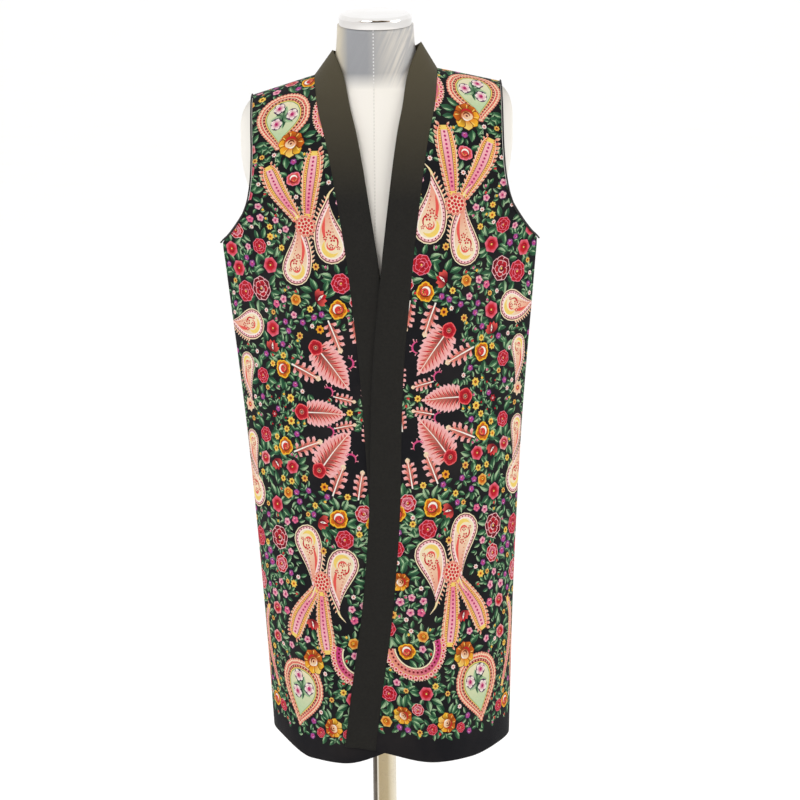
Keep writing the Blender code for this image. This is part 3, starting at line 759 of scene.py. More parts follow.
def strip(pen, points, wide, fringe=1):
    """A leaf-shaped strip with beaded borders and a ragged fringe along both sides."""
    line = curve_through(points, 16)
    body = np.interp(np.linspace(0, 1, 16), (0.0, 0.1, 0.35, 0.75, 1.0), (0.50, 0.86, 1.0, 0.72, 0.42))
    off = sides_of(line)
    along = math.degrees(math.atan2(*(line[-1] - line[0])[::-1]))
    for k in range(16):
        for hand in (-1, 1):
            root = line[k] + off[k] * hand * body[k] * wide * 0.42
            long = wide * (0.34 if hand == fringe else 0.24)
            tooth = pen.child(root, along + 90 * hand + 50 * hand, long)
            tooth.fill(drop(1.0, 0.56, 0.45, 3), "coral" if k % 2 else "salmon", "cream", (0.4, 0), (1, 0))
    pen.fill(ribbon(line, body * wide), "cream")
    pen.fill(ribbon(line, body * wide * 0.90), "coral", "salmon", points[0], points[-1])
    pen.fill(ribbon(line, body * wide * 0.80), "straw")
    for hand in (-1, 1):
        edge = line + off * (hand * body * wide * 0.33)[:, None]
        dots(pen, edge, wide * 0.13, wide * 0.045, "red", steps=4)
    pen.fill(ribbon(line[1:-1], body[1:-1] * wide * 0.52), "crimson")
    pen.fill(ribbon(line[1:-1], body[1:-1] * wide * 0.45), "blush", "pink", points[0], points[-1])
    dots(pen, line[1:-2], wide * 0.22, wide * 0.075, "magenta", steps=6)
    dots(pen, line[1:-2], wide * 0.22, wide * 0.035, "crimson", steps=4)


def medallion(pen, head, long):
    """A broad drop with fringed and beaded borders round a pale field with flowers in it."""
    outline = boteh_outline(head, long, 0.06, 0.0, 13)[0]
    closed = np.concatenate([outline, outline[:1]])
    dots(pen, closed, head * 0.13, head * 0.075, "salmon", steps=6)
    dots(pen, closed, head * 0.13, head * 0.030, "cream", steps=4)

    def inside(share):
        return boteh_outline(head, long, 0.06, head * share, 13)[0]

    for inset, ink in (
        (0.02, "cream"),
        (0.05, "salmon"),
        (0.15, "cream"),
        (0.18, "crimson"),
        (0.29, "straw"),
        (0.33, "leaf"),
    ):
        pen.fill(inside(inset), ink)
    for inset, ink, radius, every in ((0.10, "red", 0.032, 0.12), (0.235, "salmon", 0.050, 0.14)):
        border = inside(inset)
        dots(pen, np.concatenate([border, border[:1]]), head * every, head * radius, ink, steps=5)
    pen.fill(inside(0.36), "cream", "mint", (-head, 0), (long * 0.8, 0))
    for turn in (5, 60, 115, 170, 225, 280, 330):
        leaf(pen.child((head * 0.05, 0), turn, head * 0.50), "mint")
    for x, y in ((-0.34, -0.24), (-0.06, 0.34), (0.34, -0.20)):
        anemone(pen.child((x * head, y * head), 40 * x, head * 0.25), "white")


def lace(pen, at, radius, start, end):
    """A beaded arc with a scalloped edge."""
    line = arc(at, radius, start, end, 22)
    pen.fill(ribbon(line, 2.2), "cream")
    dots(pen, line, 3.0, 1.25, "cream", shift=-2.4, steps=5)
    dots(pen, line, 3.0, 0.55, "crimson", shift=-2.4, steps=4)
    outer = arc(at, radius + 6.0, start, end, 24)
    pen.fill(ribbon(outer, 9.0), "magenta", "salmon", outer[0], outer[-1])
    dots(pen, outer, 6.2, 1.9, "crimson", steps=6)
    dots(pen, outer, 6.2, 0.8, "blush", shift=3.1, steps=4)
    rim = arc(at, radius + 11.5, start, end, 24)
    pen.fill(ribbon(rim, 1.6), "straw")
    bow = arc(at, radius + 14.5, start, end, 26)
    dots(pen, bow, 8.0, 4.4, "salmon", steps=9)
    dots(pen, bow, 8.0, 3.3, "blush", steps=8)
    dots(pen, bow, 8.0, 1.9, "red", steps=6)
    dots(pen, arc(at, radius + 18.4, start, end, 26), 4.0, 1.0, "cream", steps=4)


def wreath(pen, radius, start=40, end=320):
    """A ring of tiny leaves with two small flowers in it."""
    line = arc((0, 0), radius, start, end, 20)
    for k in range(1, 19, 2):
        for hand, ink in ((1, "green"), (-1, "leaf")):
            sprout = pen.child(line[k], start + (end - start) * k / 19 + 90 + 40 * hand, radius * 0.26)
            sprout.fill(drop(1.0, 0.5, 0.5, 3), ink)
    for k in range(2, 19, 3):
        pen.fill(oval(line[k], radius * 0.07, radius * 0.07, steps=5), ("orange", "cream", "red")[k % 3])
    anemone(pen.child((-radius * 0.25, -radius * 0.18), 0, radius * 0.22), "violet")
    lower = pen.child((radius * 0.12, radius * 0.22), 0, radius * 0.26)
    daisy(lower, 6, "crimson", "red", "blush", "brown")


RED_ROSE = ("crimson", "red", "red", "pink")
PINK_ROSE = ("crimson", "red", "pink", "blush")
DARK_ROSE = ("crimson", "crimson", "red", "blush")
WARM_CUP = ("brown", "orange", "yellow", "red", "white")
YELLOW_DAISY = ("yellow", "straw", "brown", "orange")
GOLD_DAISY = ("yellow", "straw", "orange", "brown")
ORANGE_DAISY = ("orange", "straw", "crimson", "brown")
# Where the ground stays black, in flat millimetres: the wheel of feathered leaves but for a belt at its
# axle, the corners between the strips, and all below the print's end
MIRROR_S = 537.0
WHEEL_S = (415, 655)
WHEEL_REACH = 122
WHEEL_AXLE = 22
STRIPS_A = (62, 92)
STRIPS_S = ((208, 262), (800, 856))
PRINT_END_S = 1034
# The fill: how often each small flower and each sprig is tried, and how many leaves a flower has and how
# short and long they are, in millimetres
SMALL_TRIES = 170
SPRIG_TRIES = 4200
LARGE_FLOWER = 10
LARGE_LEAVES = (9, 16.0, 21.0)
SMALL_LEAVES = (5, 10.0, 13.0)
SMALL_FLOWERS = (
    ("small_rose", 13.0, RED_ROSE),
    ("small_rose", 11.0, PINK_ROSE),
    ("small_rose", 11.0, RED_ROSE),
    ("small_rose", 9.0, ("brown", "orange", "yellow", "straw")),
    ("anemone", 6.0, ("blush",)),
    ("anemone", 5.0, ("violet",)),
    ("daisy", 5.5, YELLOW_DAISY),
    ("daisy", 4.5, ORANGE_DAISY),
    ("daisy", 4.0, ("blush", "white", "red", "straw")),
)
# Every motif of one half of the print: kind, a, s, turn in degrees, size in millimetres, further words.
# The wheel's upper motifs come again below its middle, squeezed a little towards it.
WHEEL_SQUEEZE = 0.9
WHEEL = (
    ("plume", 99, 440, 129, 76, ()),
    ("oak", 79, 400, 112, 50, ()),
    ("oak", 143, 468, 158, 52, ()),
    ("antler", 50, 462, 150, 11, ()),
    ("antler", 82, 506, 190, 10, ()),
    ("oak", 74, 512, 168, 34, ()),
    ("poppy", 100, 441, 20, 12.5, ()),
    ("daisy", 146, 519, 0, 7.0, YELLOW_DAISY),
    ("daisy", 126, 425, 0, 6.0, ("orange", "straw", "brown", "red")),
    ("daisy", 92, 414, 0, 7.0, ("orange", "yellow", "crimson", "brown")),
    ("cup_rose", 158, 476, 200, 14.0, WARM_CUP),
    ("rose", 200, 490, 20, 11.5, RED_ROSE),
    ("tulip", 178, 446, 250, 12.5, ()),
    ("anemone", 137, 498, 10, 5.0, ("violet",)),
    ("anemone", 120, 405, 10, 5.0, ("violet",)),
    ("daisy", 178, 470, 0, 5.5, GOLD_DAISY),
    ("oak", 26, 487, 96, 34, ()),
    ("antler", 22, 525, 200, 9, ()),
    ("oak", 40, 395, 100, 44, ()),
    ("rose", 32, 372, 10, 13.0, PINK_ROSE),
)
SINGLES = (
    ("wreath", 176, 541, 0, 22, ()),
    ("poppy", 127, 538, 90, 13.0, ()),
    ("plume", 120, 538, 180, 62, ()),
    ("rosette", 0, 537, 0, 13.0, ()),
    ("daisy", 236, 538, 0, 12.0, ("salmon", "cream", "red", "straw")),
    # shoulder
    ("medallion", 139, 82, 76, 33, (54,)),
    ("orange_rose", 127, 130, 20, 20.0, ()),
    ("cup_rose", 124, 187, 120, 11.5, ("crimson", "coral", "pink", "red", "white")),
    ("anemone", 124, 160, 0, 5.0, ("violet",)),
    ("lace", 46, 96, 0, 1, (30, -75, 72)),
    ("rose", 24, 128, 0, 15.0, RED_ROSE),
    ("cup_rose", 100, 26, 200, 13.0, WARM_CUP),
    ("rose", 60, 30, 60, 11.0, PINK_ROSE),
    ("anemone", 150, 28, 30, 7.0, ("blush",)),
    ("daisy", 172, 36, 0, 6.5, YELLOW_DAISY),
    # chest
    ("strip", 0, 0, 0, 1, (((164, 160), (148, 204), (120, 252)), 27, -1)),
    ("strip", 0, 0, 0, 1, (((92, 150), (100, 200), (106, 250)), 27, 1)),
    ("paisley", 129, 327, -112, 1, (24, 78, False)),
    ("paisley", 70, 293, -70, 1, (25, 72, True)),
    ("rosette", 110, 262, 0, 16.0, ()),
    ("rose", 193, 294, 30, 12.5, RED_ROSE),
    ("rose", 194, 359, 10, 18.0, DARK_ROSE),
    ("rose", 228, 366, 70, 16.0, RED_ROSE),
    ("rose", 236, 268, 70, 15.0, PINK_ROSE),
    ("tulip", 92, 368, 200, 13.5, ()),
    ("rose", 58, 346, 200, 14.5, RED_ROSE),
    ("cup_rose", 63, 384, 160, 14.5, WARM_CUP),
    ("anemone", 166, 380, 0, 6.5, ("pink",)),
    ("anemone", 152, 372, 60, 6.5, ("blush",)),
    ("anemone", 184, 226, 10, 6.5, ("blush",)),
    ("anemone", 203, 248, 30, 7.0, ("pink",)),
    ("anemone", 184, 246, 100, 7.0, ("blush",)),
    ("daisy", 170, 262, 0, 5.5, GOLD_DAISY),
    ("daisy", 171, 278, 10, 6.5, GOLD_DAISY),
    ("anemone", 210, 322, 10, 6.0, ("violet",)),
    ("daisy", 96, 322, 10, 6.0, ORANGE_DAISY),
    ("tulip", 34, 250, 60, 12.0, ()),
    ("rose", 18, 300, 60, 15.0, DARK_ROSE),
    ("anemone", 44, 215, 60, 6.5, ("pink",)),
    ("cup_rose", 20, 200, 60, 13.0, WARM_CUP),
    # sides of the wheel
    ("paisley", 216, 414, 18, 1, (23, 56, True)),
    ("paisley", 234, 474, 78, 1, (16, 60, False)),
    ("paisley", 234, 670, -48, 1, (25, 70, True)),
    ("paisley", 236, 592, 84, 1, (16, 56, False)),
    # below the wheel
    ("anemone", 160, 706, 10, 6.5, ("blush",)),
    ("anemone", 145, 702, 70, 6.0, ("pink",)),
    ("rose", 179, 733, 30, 18.0, DARK_ROSE),
    ("rose", 233, 740, 70, 15.0, RED_ROSE),
    ("rose", 177, 773, 10, 13.5, PINK_ROSE),
    ("anemone", 205, 757, 0, 6.5, ("violet",)),
    ("anemone", 201, 774, 20, 6.5, ("violet",)),
    ("anemone", 217, 768, 40, 6.5, ("violet",)),
    ("tulip", 97, 700, 150, 12.5, ()),
    ("cup_rose", 70, 694, 120, 15.0, WARM_CUP),
    ("rose", 62, 725, 200, 14.0, RED_ROSE),
    ("daisy", 96, 744, 10, 6.0, ORANGE_DAISY),
    ("strip", 0, 0, 0, 1, (((158, 884), (142, 846), (110, 802)), 27, 1)),
    ("strip", 0, 0, 0, 1, (((94, 900), (100, 856), (102, 806)), 27, -1)),
    ("paisley", 124, 730, 112, 1, (23, 78, True)),
    ("paisley", 65, 762, 66, 1, (24, 72, False)),
    ("rosette", 101, 791, 0, 15.5, ()),
    ("anemone", 198, 823, 20, 7.5, ("blush",)),
    ("anemone", 172, 820, 90, 7.0, ("blush",)),
    ("anemone", 170, 846, 10, 7.0, ("pink",)),
    ("daisy", 152, 800, 10, 6.5, GOLD_DAISY),
    ("rose", 240, 810, 20, 17.0, PINK_ROSE),
    ("strip", 0, 0, 0, 1, (((218, 848), (232, 880), (226, 930), (204, 985)), 14, -1)),
    ("strip", 0, 0, 0, 1, (((262, 886), (244, 920), (240, 970), (250, 1010)), 12, 1)),
    # hem
    ("tulip", 120, 856, 80, 12.0, ()),
    ("medallion", 146, 958, 78, 33, (62,)),
    ("orange_rose", 122, 914, 60, 19.0, ()),
    ("lace", 40, 900, 0, 1, (30, -20, 175)),
    ("orange_rose", 90, 1012, 150, 15.0, ()),
    ("rose", 113, 1022, 20, 7.5, RED_ROSE),
    ("rose", 66, 1020, 20, 8.0, RED_ROSE),
    ("rose", 196, 1012, 20, 9.0, RED_ROSE),
    ("cup_rose", 216, 1010, 90, 12.0, WARM_CUP),
    ("orange_rose", 20, 800, 100, 14.0, ()),
    ("anemone", 19, 830, 10, 7.0, ("blush",)),
    ("anemone", 34, 846, 10, 6.5, ("blush",)),
    ("anemone", 50, 846, 60, 6.5, ("pink",)),
    ("daisy", 8, 850, 10, 7.0, ("orange", "straw", "brown", "brown")),
    ("cup_rose", 28, 905, 90, 13.0, WARM_CUP),
    ("rose", 0, 872, 0, 12.0, RED_ROSE),
    ("rose", 14, 752, 0, 12.0, RED_ROSE),
    ("cup_rose", 16, 700, 0, 14.0, WARM_CUP),
    ("orange_rose", 22, 1004, 90, 14.0, ()),
    ("rose", 44, 992, 90, 9.0, PINK_ROSE),
    ("rose", 0, 975, 90, 12.0, RED_ROSE),
)
MOTIFS = {
    "plume": lambda pen, words: plume(pen),
    "oak": lambda pen, words: oak(pen),
    "antler": lambda pen, words: antler(pen),
    "poppy": lambda pen, words: poppy(pen),
    "tulip": lambda pen, words: tulip(pen),
    "rosette": lambda pen, words: rosette(pen),
    "orange_rose": lambda pen, words: orange_rose(pen),
    "anemone": lambda pen, words: anemone(pen, *words),
    "daisy": lambda pen, words: daisy(pen, 7, *words),
    "rose": lambda pen, words: rose(pen, *words),
    "small_rose": lambda pen, words: small_rose(pen, *words),
    "cup_rose": lambda pen, words: cup_rose(pen, *words),
    "wreath": lambda pen, words: wreath(pen.child(size=0.045), 22.0),
    "medallion": lambda pen, words: medallion(pen.child(size=1 / 33), 39.0, *words),
    "strip": lambda pen, words: strip(pen, *words),
    "lace": lambda pen, words: lace(pen, (0.0, 0.0), *words),
    "paisley": lambda pen, words: paisley(pen.child(flip=words[2]), words[0], words[1]),
}
LEAFY = ("rose", "cup_rose", "orange_rose", "tulip", "anemone")
UNDER_FLOWERS = ("plume", "oak", "antler", "lace", "strip", "paisley", "medallion", "wreath", "rosette")


def mirrored_wheel(row):
    """The same motif below the wheel's middle, a little closer to it."""
    kind, a, s, turn, size, words = row
    return kind, a, MIRROR_S + (MIRROR_S - s) * WHEEL_SQUEEZE, -turn, size, words


def design_rows():
    """Every motif of one half: the ones that lie under the flowers, then the flowers."""
    rows = list(WHEEL) + [mirrored_wheel(row) for row in WHEEL] + list(SINGLES)
    return sorted(rows, key=lambda row: row[0] not in UNDER_FLOWERS)


def drawn_motifs():
    """The outlines of one half's motifs."""
    shapes = []
    for kind, a, s, turn, size, words in design_rows():
        MOTIFS[kind](Pen(shapes, (a, s), turn, size), words)
    return shapes


def signed_area(points):
    """The area inside an outline, less than 0 where it runs clockwise."""
    after = np.roll(points, -1, axis=0)
    return (points[:, 0] * after[:, 1] - points[:, 1] * after[:, 0]).sum() / 2


def within(x, y, loop):
    """Which places lie inside a closed outline."""
    inside = np.zeros(np.broadcast(x, y).shape, bool)
    for start, end in zip(loop, np.roll(loop, -1, axis=0)):
        if start[1] != end[1]:
            crosses = (y < start[1]) != (y < end[1])
            meets = start[0] + (y - start[1]) / (end[1] - start[1]) * (end[0] - start[0])
            inside ^= crosses & (x < meets)
    return inside


class Ground:
    """Which parts of the flat half are drawn on, in small square cells."""

    CELL = 2.0
    WIDE, LONG = 290.0, 1100.0
    LEFT = -40.0

    def __init__(self):
        self.taken = np.zeros((int(self.LONG / self.CELL), int((self.WIDE - self.LEFT) / self.CELL)), bool)

    def mark(self, points):
        """Takes the cells whose middles lie inside an outline."""
        low = np.floor((points.min(0) - (self.LEFT, 0.0)) / self.CELL).astype(int)
        high = np.ceil((points.max(0) - (self.LEFT, 0.0)) / self.CELL).astype(int)
        low = np.maximum(low, 0)
        high = np.minimum(high, (self.taken.shape[1] - 1, self.taken.shape[0] - 1))
        if np.any(high < low):
            return
        x = (np.arange(low[0], high[0] + 1) + 0.5) * self.CELL + self.LEFT
        y = (np.arange(low[1], high[1] + 1) + 0.5) * self.CELL
        self.taken[low[1] : high[1] + 1, low[0] : high[0] + 1] |= within(x[None, :], y[:, None], points)

    def free(self, a, s, reach):
        """Whether nothing is drawn within reach of a place."""
        cells = int(round(reach / self.CELL))
        column, row = int((a - self.LEFT) / self.CELL), int(s / self.CELL)
        if row < 0 or column < 0:
            return False
        rows = slice(max(row - cells, 0), row + cells + 1)
        part = self.taken[rows, max(column - cells, 0) : column + cells + 1]
        return part.size > 0 and not part.any()


def kept_plain(a, s):
    """The places that stay black: the hem border and the fields round the feathered leaves and strips."""
    low, high = WHEEL_S
    in_wheel = low < s < high and a < WHEEL_REACH and abs(s - MIRROR_S) > WHEEL_AXLE
    by_strips = STRIPS_A[0] < a < STRIPS_A[1] and any(first < s < last for first, last in STRIPS_S)
    return s > PRINT_END_S or in_wheel or by_strips


def take(ground, shapes, start):
    """Marks the ground under the outlines from that one on."""
    for points, *_ in shapes[start:]:
        ground.mark(points)


def small_flowers(chance, ground, flowers):
    """Sows small flowers on free ground, and gives the place and size of each."""
    sown = []
    for kind, size, words in SMALL_FLOWERS:
        for _ in range(SMALL_TRIES):
            a, s = chance.uniform(-12, 262), chance.uniform(4, 1030)
            if not kept_plain(a, s) and ground.free(a, s, size * 1.25):
                start = len(flowers)
                sown.append((a, s, size))
                MOTIFS[kind](Pen(flowers, (a, s), chance.uniform(0, 360), size), words)
                take(ground, flowers, start)
    return sown


def leaf_clusters(chance, ground, middles):
    """Leaves that fan out from under each flower, where the ground beyond it is free."""
    leaves = []
    tips = Ground()
    for a, s, size in middles:
        large = size > LARGE_FLOWER
        count, shortest, longest = LARGE_LEAVES if large else SMALL_LEAVES
        for k in range(count):
            turn = 360 * (k + chance.uniform(-0.3, 0.3)) / count
            reach = size * chance.uniform(0.8, 1.15)
            along = (math.cos(math.radians(turn)), math.sin(math.radians(turn)))
            x, y = a + reach * along[0], s + reach * along[1]
            long = chance.uniform(shortest, longest)
            tip = (x + 0.7 * long * along[0], y + 0.7 * long * along[1])
            if not kept_plain(*tip) and ground.free(*tip, 1.0) and tips.free(*tip, 1.0):
                tips.mark(oval(tip, 4.6, 4.6))
                pen = Pen(leaves, (x, y), turn + chance.uniform(-28, 28), long)
                leaf(pen, chance.choice(("leaf", "mint", "leaf", "green")))
    take(ground, leaves, 0)
    return leaves


def sprigs(chance, ground, leaves, flowers):
    """Pairs of leaves, some with a bud, on what ground is left."""
    for _ in range(SPRIG_TRIES):
        a, s = chance.uniform(-14, 266), chance.uniform(2, 1034)
        if kept_plain(a, s) or not ground.free(a, s, 2.5):
            continue
        turn, long = chance.uniform(0, 360), chance.uniform(9.0, 13.0)
        start = len(leaves)
        pen = Pen(leaves, (a, s), turn, long)
        leaf(pen.child((-0.5, 0.0), 24))
        leaf(pen.child((-0.5, 0.0), -30, 0.8), "mint")
        take(ground, leaves, start)
        if chance.random() < 0.4:
            bud = chance.choice((("red", "coral"), ("yellow", "straw"), ("magenta", "blush")))
            Pen(flowers, (a, s), turn, 2.4).fill(oval((0, 0), 1.0, 0.8, steps=6), *bud)


def filling(shapes):
    """Leaves and small flowers between the motifs: outlines to lie under them and over them."""
    chance = random.Random(17)
    ground = Ground()
    take(ground, shapes, 0)
    flowers = []
    sown = small_flowers(chance, ground, flowers)
    middles = [(a, s, size) for kind, a, s, _, size, _ in design_rows() if kind in LEAFY]
    chance.shuffle(middles)
    leaves = leaf_clusters(chance, ground, middles + sown)
    sprigs(chance, ground, leaves, flowers)
    return leaves, flowers


def plainer(points, within_mm):
    """An outline without the points that lie that close to the line between their neighbours."""
    while len(points) > 4:
        before, after = np.roll(points, 1, axis=0), np.roll(points, -1, axis=0)
        chord = after - before
        long = np.maximum(np.hypot(chord[:, 0], chord[:, 1]), 1e-9)
        off = points - before
        away = np.abs(off[:, 0] * chord[:, 1] - off[:, 1] * chord[:, 0]) / long
        least = int(np.argmin(away))
        if away[least] > within_mm:
            break
        points = np.delete(points, least, axis=0)
    return points


def placed(shapes, hand, within_mm, least_area=0.0, stretch=1.0, start=0.0, shift=(0.0, 0.0)):
    """The outlines of one half in a panel's own flat plane. hand is 1 for the wearer's left. They lose
    the points that show least, and the smallest outlines are left out."""
    made = []
    for points, near, far, first, last in shapes:
        if abs(signed_area(points)) < least_area:
            continue
        points = plainer(points, within_mm)
        moved = []
        for spot in (points, first, last):
            s = spot[..., 1] * stretch + start
            a = spot[..., 0] + shift[0] + (shift[1] - shift[0]) * s / (LENGTH * 1000)
            moved.append(np.stack([a * hand, s], axis=-1))
        made.append((moved[0], near, far, moved[1], moved[2]))
    return made


def edges_of(triangles):
    """The three edges of each triangle, as pairs of vertices."""
    return np.concatenate([triangles[:, (0, 1)], triangles[:, (1, 2)], triangles[:, (2, 0)]])


def boundary_loop(triangles):
    """The vertices round the outside of a triangle mesh, in order."""
    seen = {(int(i), int(j)) for i, j in edges_of(triangles)}
    after = {i: j for i, j in seen if (j, i) not in seen}
    first = next(iter(after))
    loop = [first]
    while after[loop[-1]] != first:
        loop.append(after[loop[-1]])
        if len(loop) > len(after):
            raise ValueError("the outside of the mesh isn't one closed loop")
    if len(loop) != len(after):
        raise ValueError(f"the mesh has more than one outside: {len(loop)} of {len(after)}")
    return np.array(loop)


def inside_points(loop, step):
    """A staggered grid of points that lie inside a loop, kept clear of its edge."""
    low, high = loop.min(0), loop.max(0)
    rows = []
    for row, s in enumerate(np.arange(low[1] + step / 2, high[1], step * GRID_ROW_SHARE)):
        b = np.arange(low[0] + step / 2 * (row % 2), high[0], step)
        rows.append(np.stack([b, np.full(len(b), s)], axis=1))
    spots = np.concatenate(rows)
    spots = spots[within(spots[:, 0], spots[:, 1], loop)]
    near = np.array([np.min(np.hypot(*(loop - spot).T)) for spot in spots])
    return spots[near > step * GRID_CLEAR_SHARE]


def sizes_of(flat, triangles):
    """Twice the area of each flat triangle, less than 0 where it runs clockwise."""
    corners = flat[triangles]
    one, two = corners[:, 1] - corners[:, 0], corners[:, 2] - corners[:, 0]
    return one[:, 0] * two[:, 1] - one[:, 1] * two[:, 0]


def wound(flat, triangles):
    """Triangles that all run the same way round, turned so that their areas count as positive."""
    return triangles if sizes_of(flat, triangles).sum() > 0 else triangles[:, ::-1]


def turned_left(points):
    """An outline that runs the way round that the cutting takes its inside from."""
    return points if signed_area(points) > 0 else points[::-1]


def top_outline(spot, over, boxes):
    """The number of the last outline drawn over a place, which is 0 for the bare ground."""
    for number in sorted(over, reverse=True):
        low_x, low_y, high_x, high_y = boxes[number]
        if low_x <= spot[0] <= high_x and low_y <= spot[1] <= high_y:
            return number
    return 0


def enclosed(flat, triangles, rim, loop):
    """The triangles that the rim's edges shut in."""
    walls = {tuple(sorted(edge)) for edge in rim}
    listed = triangles.tolist()
    sides = [[tuple(sorted(pair)) for pair in ((i, j), (j, k), (k, i))] for i, j, k in listed]
    beside = {}
    for number, pairs in enumerate(sides):
        for pair in pairs:
            if pair not in walls:
                beside.setdefault(pair, []).append(number)
    middles = flat[triangles].mean(1)
    inside = within(middles[:, 0], middles[:, 1], loop)
    first = int(np.argmax(np.where(inside, np.abs(sizes_of(flat, triangles)), 0.0)))
    reached = np.zeros(len(triangles), bool)
    reached[first] = True
    waiting = [first]
    while waiting:
        for pair in sides[waiting.pop()]:
            for number in beside.get(pair, ()):
                if not reached[number]:
                    reached[number] = True
                    waiting.append(number)
    return triangles[reached]


def ring_sides(count):
    """The pairs of neighbours round a loop of that many points."""
    ring = np.arange(count)
    return np.stack([ring, np.roll(ring, -1)], axis=1)


def first_cut(loop, shapes):
    """Cuts a panel by every outline drawn on it. Gives the flat points, the triangles inside the panel,
    and the number of the outline that shows in each, or -1 for the bare ground."""
    low, high = loop.min(0), loop.max(0)
    kept = [turned_left(loop)]
    numbers = [-1]
    for number, (points, *_) in enumerate(shapes):
        if np.all(points.max(0) > low) and np.all(points.min(0) < high):
            kept.append(turned_left(points))
            numbers.append(number)
    ends = np.cumsum([len(part) for part in kept])
    faces = [list(range(end - len(part), end)) for end, part in zip(ends, kept)]
    spots = [Vector(spot) for spot in np.concatenate(kept)]
    cut = delaunay_2d_cdt(spots, [], faces, 0, CUT_WITHIN, True)
    flat, triangles = np.array([tuple(spot) for spot in cut[0]]), np.array(cut[2])
    middles = flat[triangles].mean(1)
    inside = within(middles[:, 0], middles[:, 1], loop)
    boxes = [(*part.min(0), *part.max(0)) for part in kept]
    tops = [top_outline(spot, over, boxes) for spot, over, keep in zip(middles, cut[5], inside) if keep]
    return flat, triangles[inside], np.array(numbers)[tops]


def visible_edges(triangles, shown):
    """The edges with a different outline on each side, and the ones with a triangle on one side only."""
    pairs = edges_of(triangles)
    pairs.sort(axis=1)
    tops = np.tile(shown, 3)
    order = np.lexsort((pairs[:, 1], pairs[:, 0]))
    pairs, tops = pairs[order], tops[order]
    twin = np.zeros(len(pairs), bool)
    twin[:-1] = np.all(pairs[:-1] == pairs[1:], axis=1)
    hidden = twin.copy()
    hidden[:-1] &= tops[:-1] == tops[1:]
    second = np.concatenate([[False], twin[:-1]])
    return pairs[~hidden & ~second]


def print_triangles(loop, shapes, step):
    """Cuts a panel's flat outline along what shows of the outlines on it, with a grid of points between.
    Gives the flat points, the triangles and the number of the outline that shows in each."""
    flat, triangles, shown = first_cut(loop, shapes)
    used, edges = np.unique(visible_edges(triangles, shown), return_inverse=True)
    edges = edges.reshape(-1, 2) + len(loop)
    spots = [Vector(spot) for spot in np.concatenate([loop, flat[used], inside_points(loop, step)])]
    sides = np.concatenate([ring_sides(len(loop)), edges]).tolist()
    again = delaunay_2d_cdt(spots, sides, [], 0, CUT_WITHIN, True)
    fine = np.array([tuple(spot) for spot in again[0]])
    rim = [edge for edge, given in zip(again[1], again[4]) if any(n < len(loop) for n in given)]
    fine_triangles = enclosed(fine, wound(fine, np.array(again[2])), rim, loop)
    tree = BVHTree.FromPolygons([(x, y, 0.0) for x, y in flat], triangles.tolist())
    middles = fine[fine_triangles].mean(1)
    found = [tree.find_nearest(Vector((x, y, 0.0)))[2] for x, y in middles]
    return fine, fine_triangles, shown[found]


def corner_inks(flat, triangles, shown, shapes):
    """The ink at each corner of each triangle."""
    ground = (None, INK["ground"], INK["ground"], np.zeros(2), np.ones(2))
    table_of = [shapes[n] if n >= 0 else ground for n in range(-1, len(shapes))]
    near, far, first, last = (np.array([row[k] for row in table_of])[shown + 1] for k in (1, 2, 3, 4))
    run = last - first
    long = np.maximum((run**2).sum(1), 1e-9)
    part = ((flat[triangles] - first[:, None]) * run[:, None]).sum(2) / long[:, None]
    part = np.clip(part, 0.0, 1.0)[:, :, None]
    return near[:, None] * (1 - part) + far[:, None] * part


def bake_map(flat, back_flat, triangles, back_triangles, rim):
    """Where a shell's corners lie when its colours are baked: the face, the rim as two thin strips that
    run up the square, and the reverse side."""
    low, high = flat.min(0), flat.max(0)
    shares = [(spots - low) / (high - low) for spots in (flat, back_flat)]
    face_map = shares[0][triangles] * (FACE_MAP_WIDE, MAP_SPAN) + MAP_EDGE
    back_span = (MAP_SPAN - REVERSE_MAP_FROM, MAP_SPAN)
    back_map = shares[1][back_triangles] * back_span + (REVERSE_MAP_FROM, MAP_EDGE)
    ring = np.arange(rim)
    start, end = MAP_EDGE + MAP_SPAN * ring / rim, MAP_EDGE + MAP_SPAN * (ring + 1) / rim
    strips = []
    for left in (RIM_MAP_FROM, RIM_MAP_FROM + RIM_MAP_WIDE):
        right = left + RIM_MAP_WIDE
        corners = ((left, end), (left, start), (right, start), (right, end))
        strips.append(np.stack([np.stack(np.broadcast_arrays(u, v), axis=-1) for u, v in corners], axis=1))
    rim_map = np.concatenate(strips)
    return np.concatenate([face_map, rim_map[:, (0, 1, 2)], rim_map[:, (0, 2, 3)], back_map])


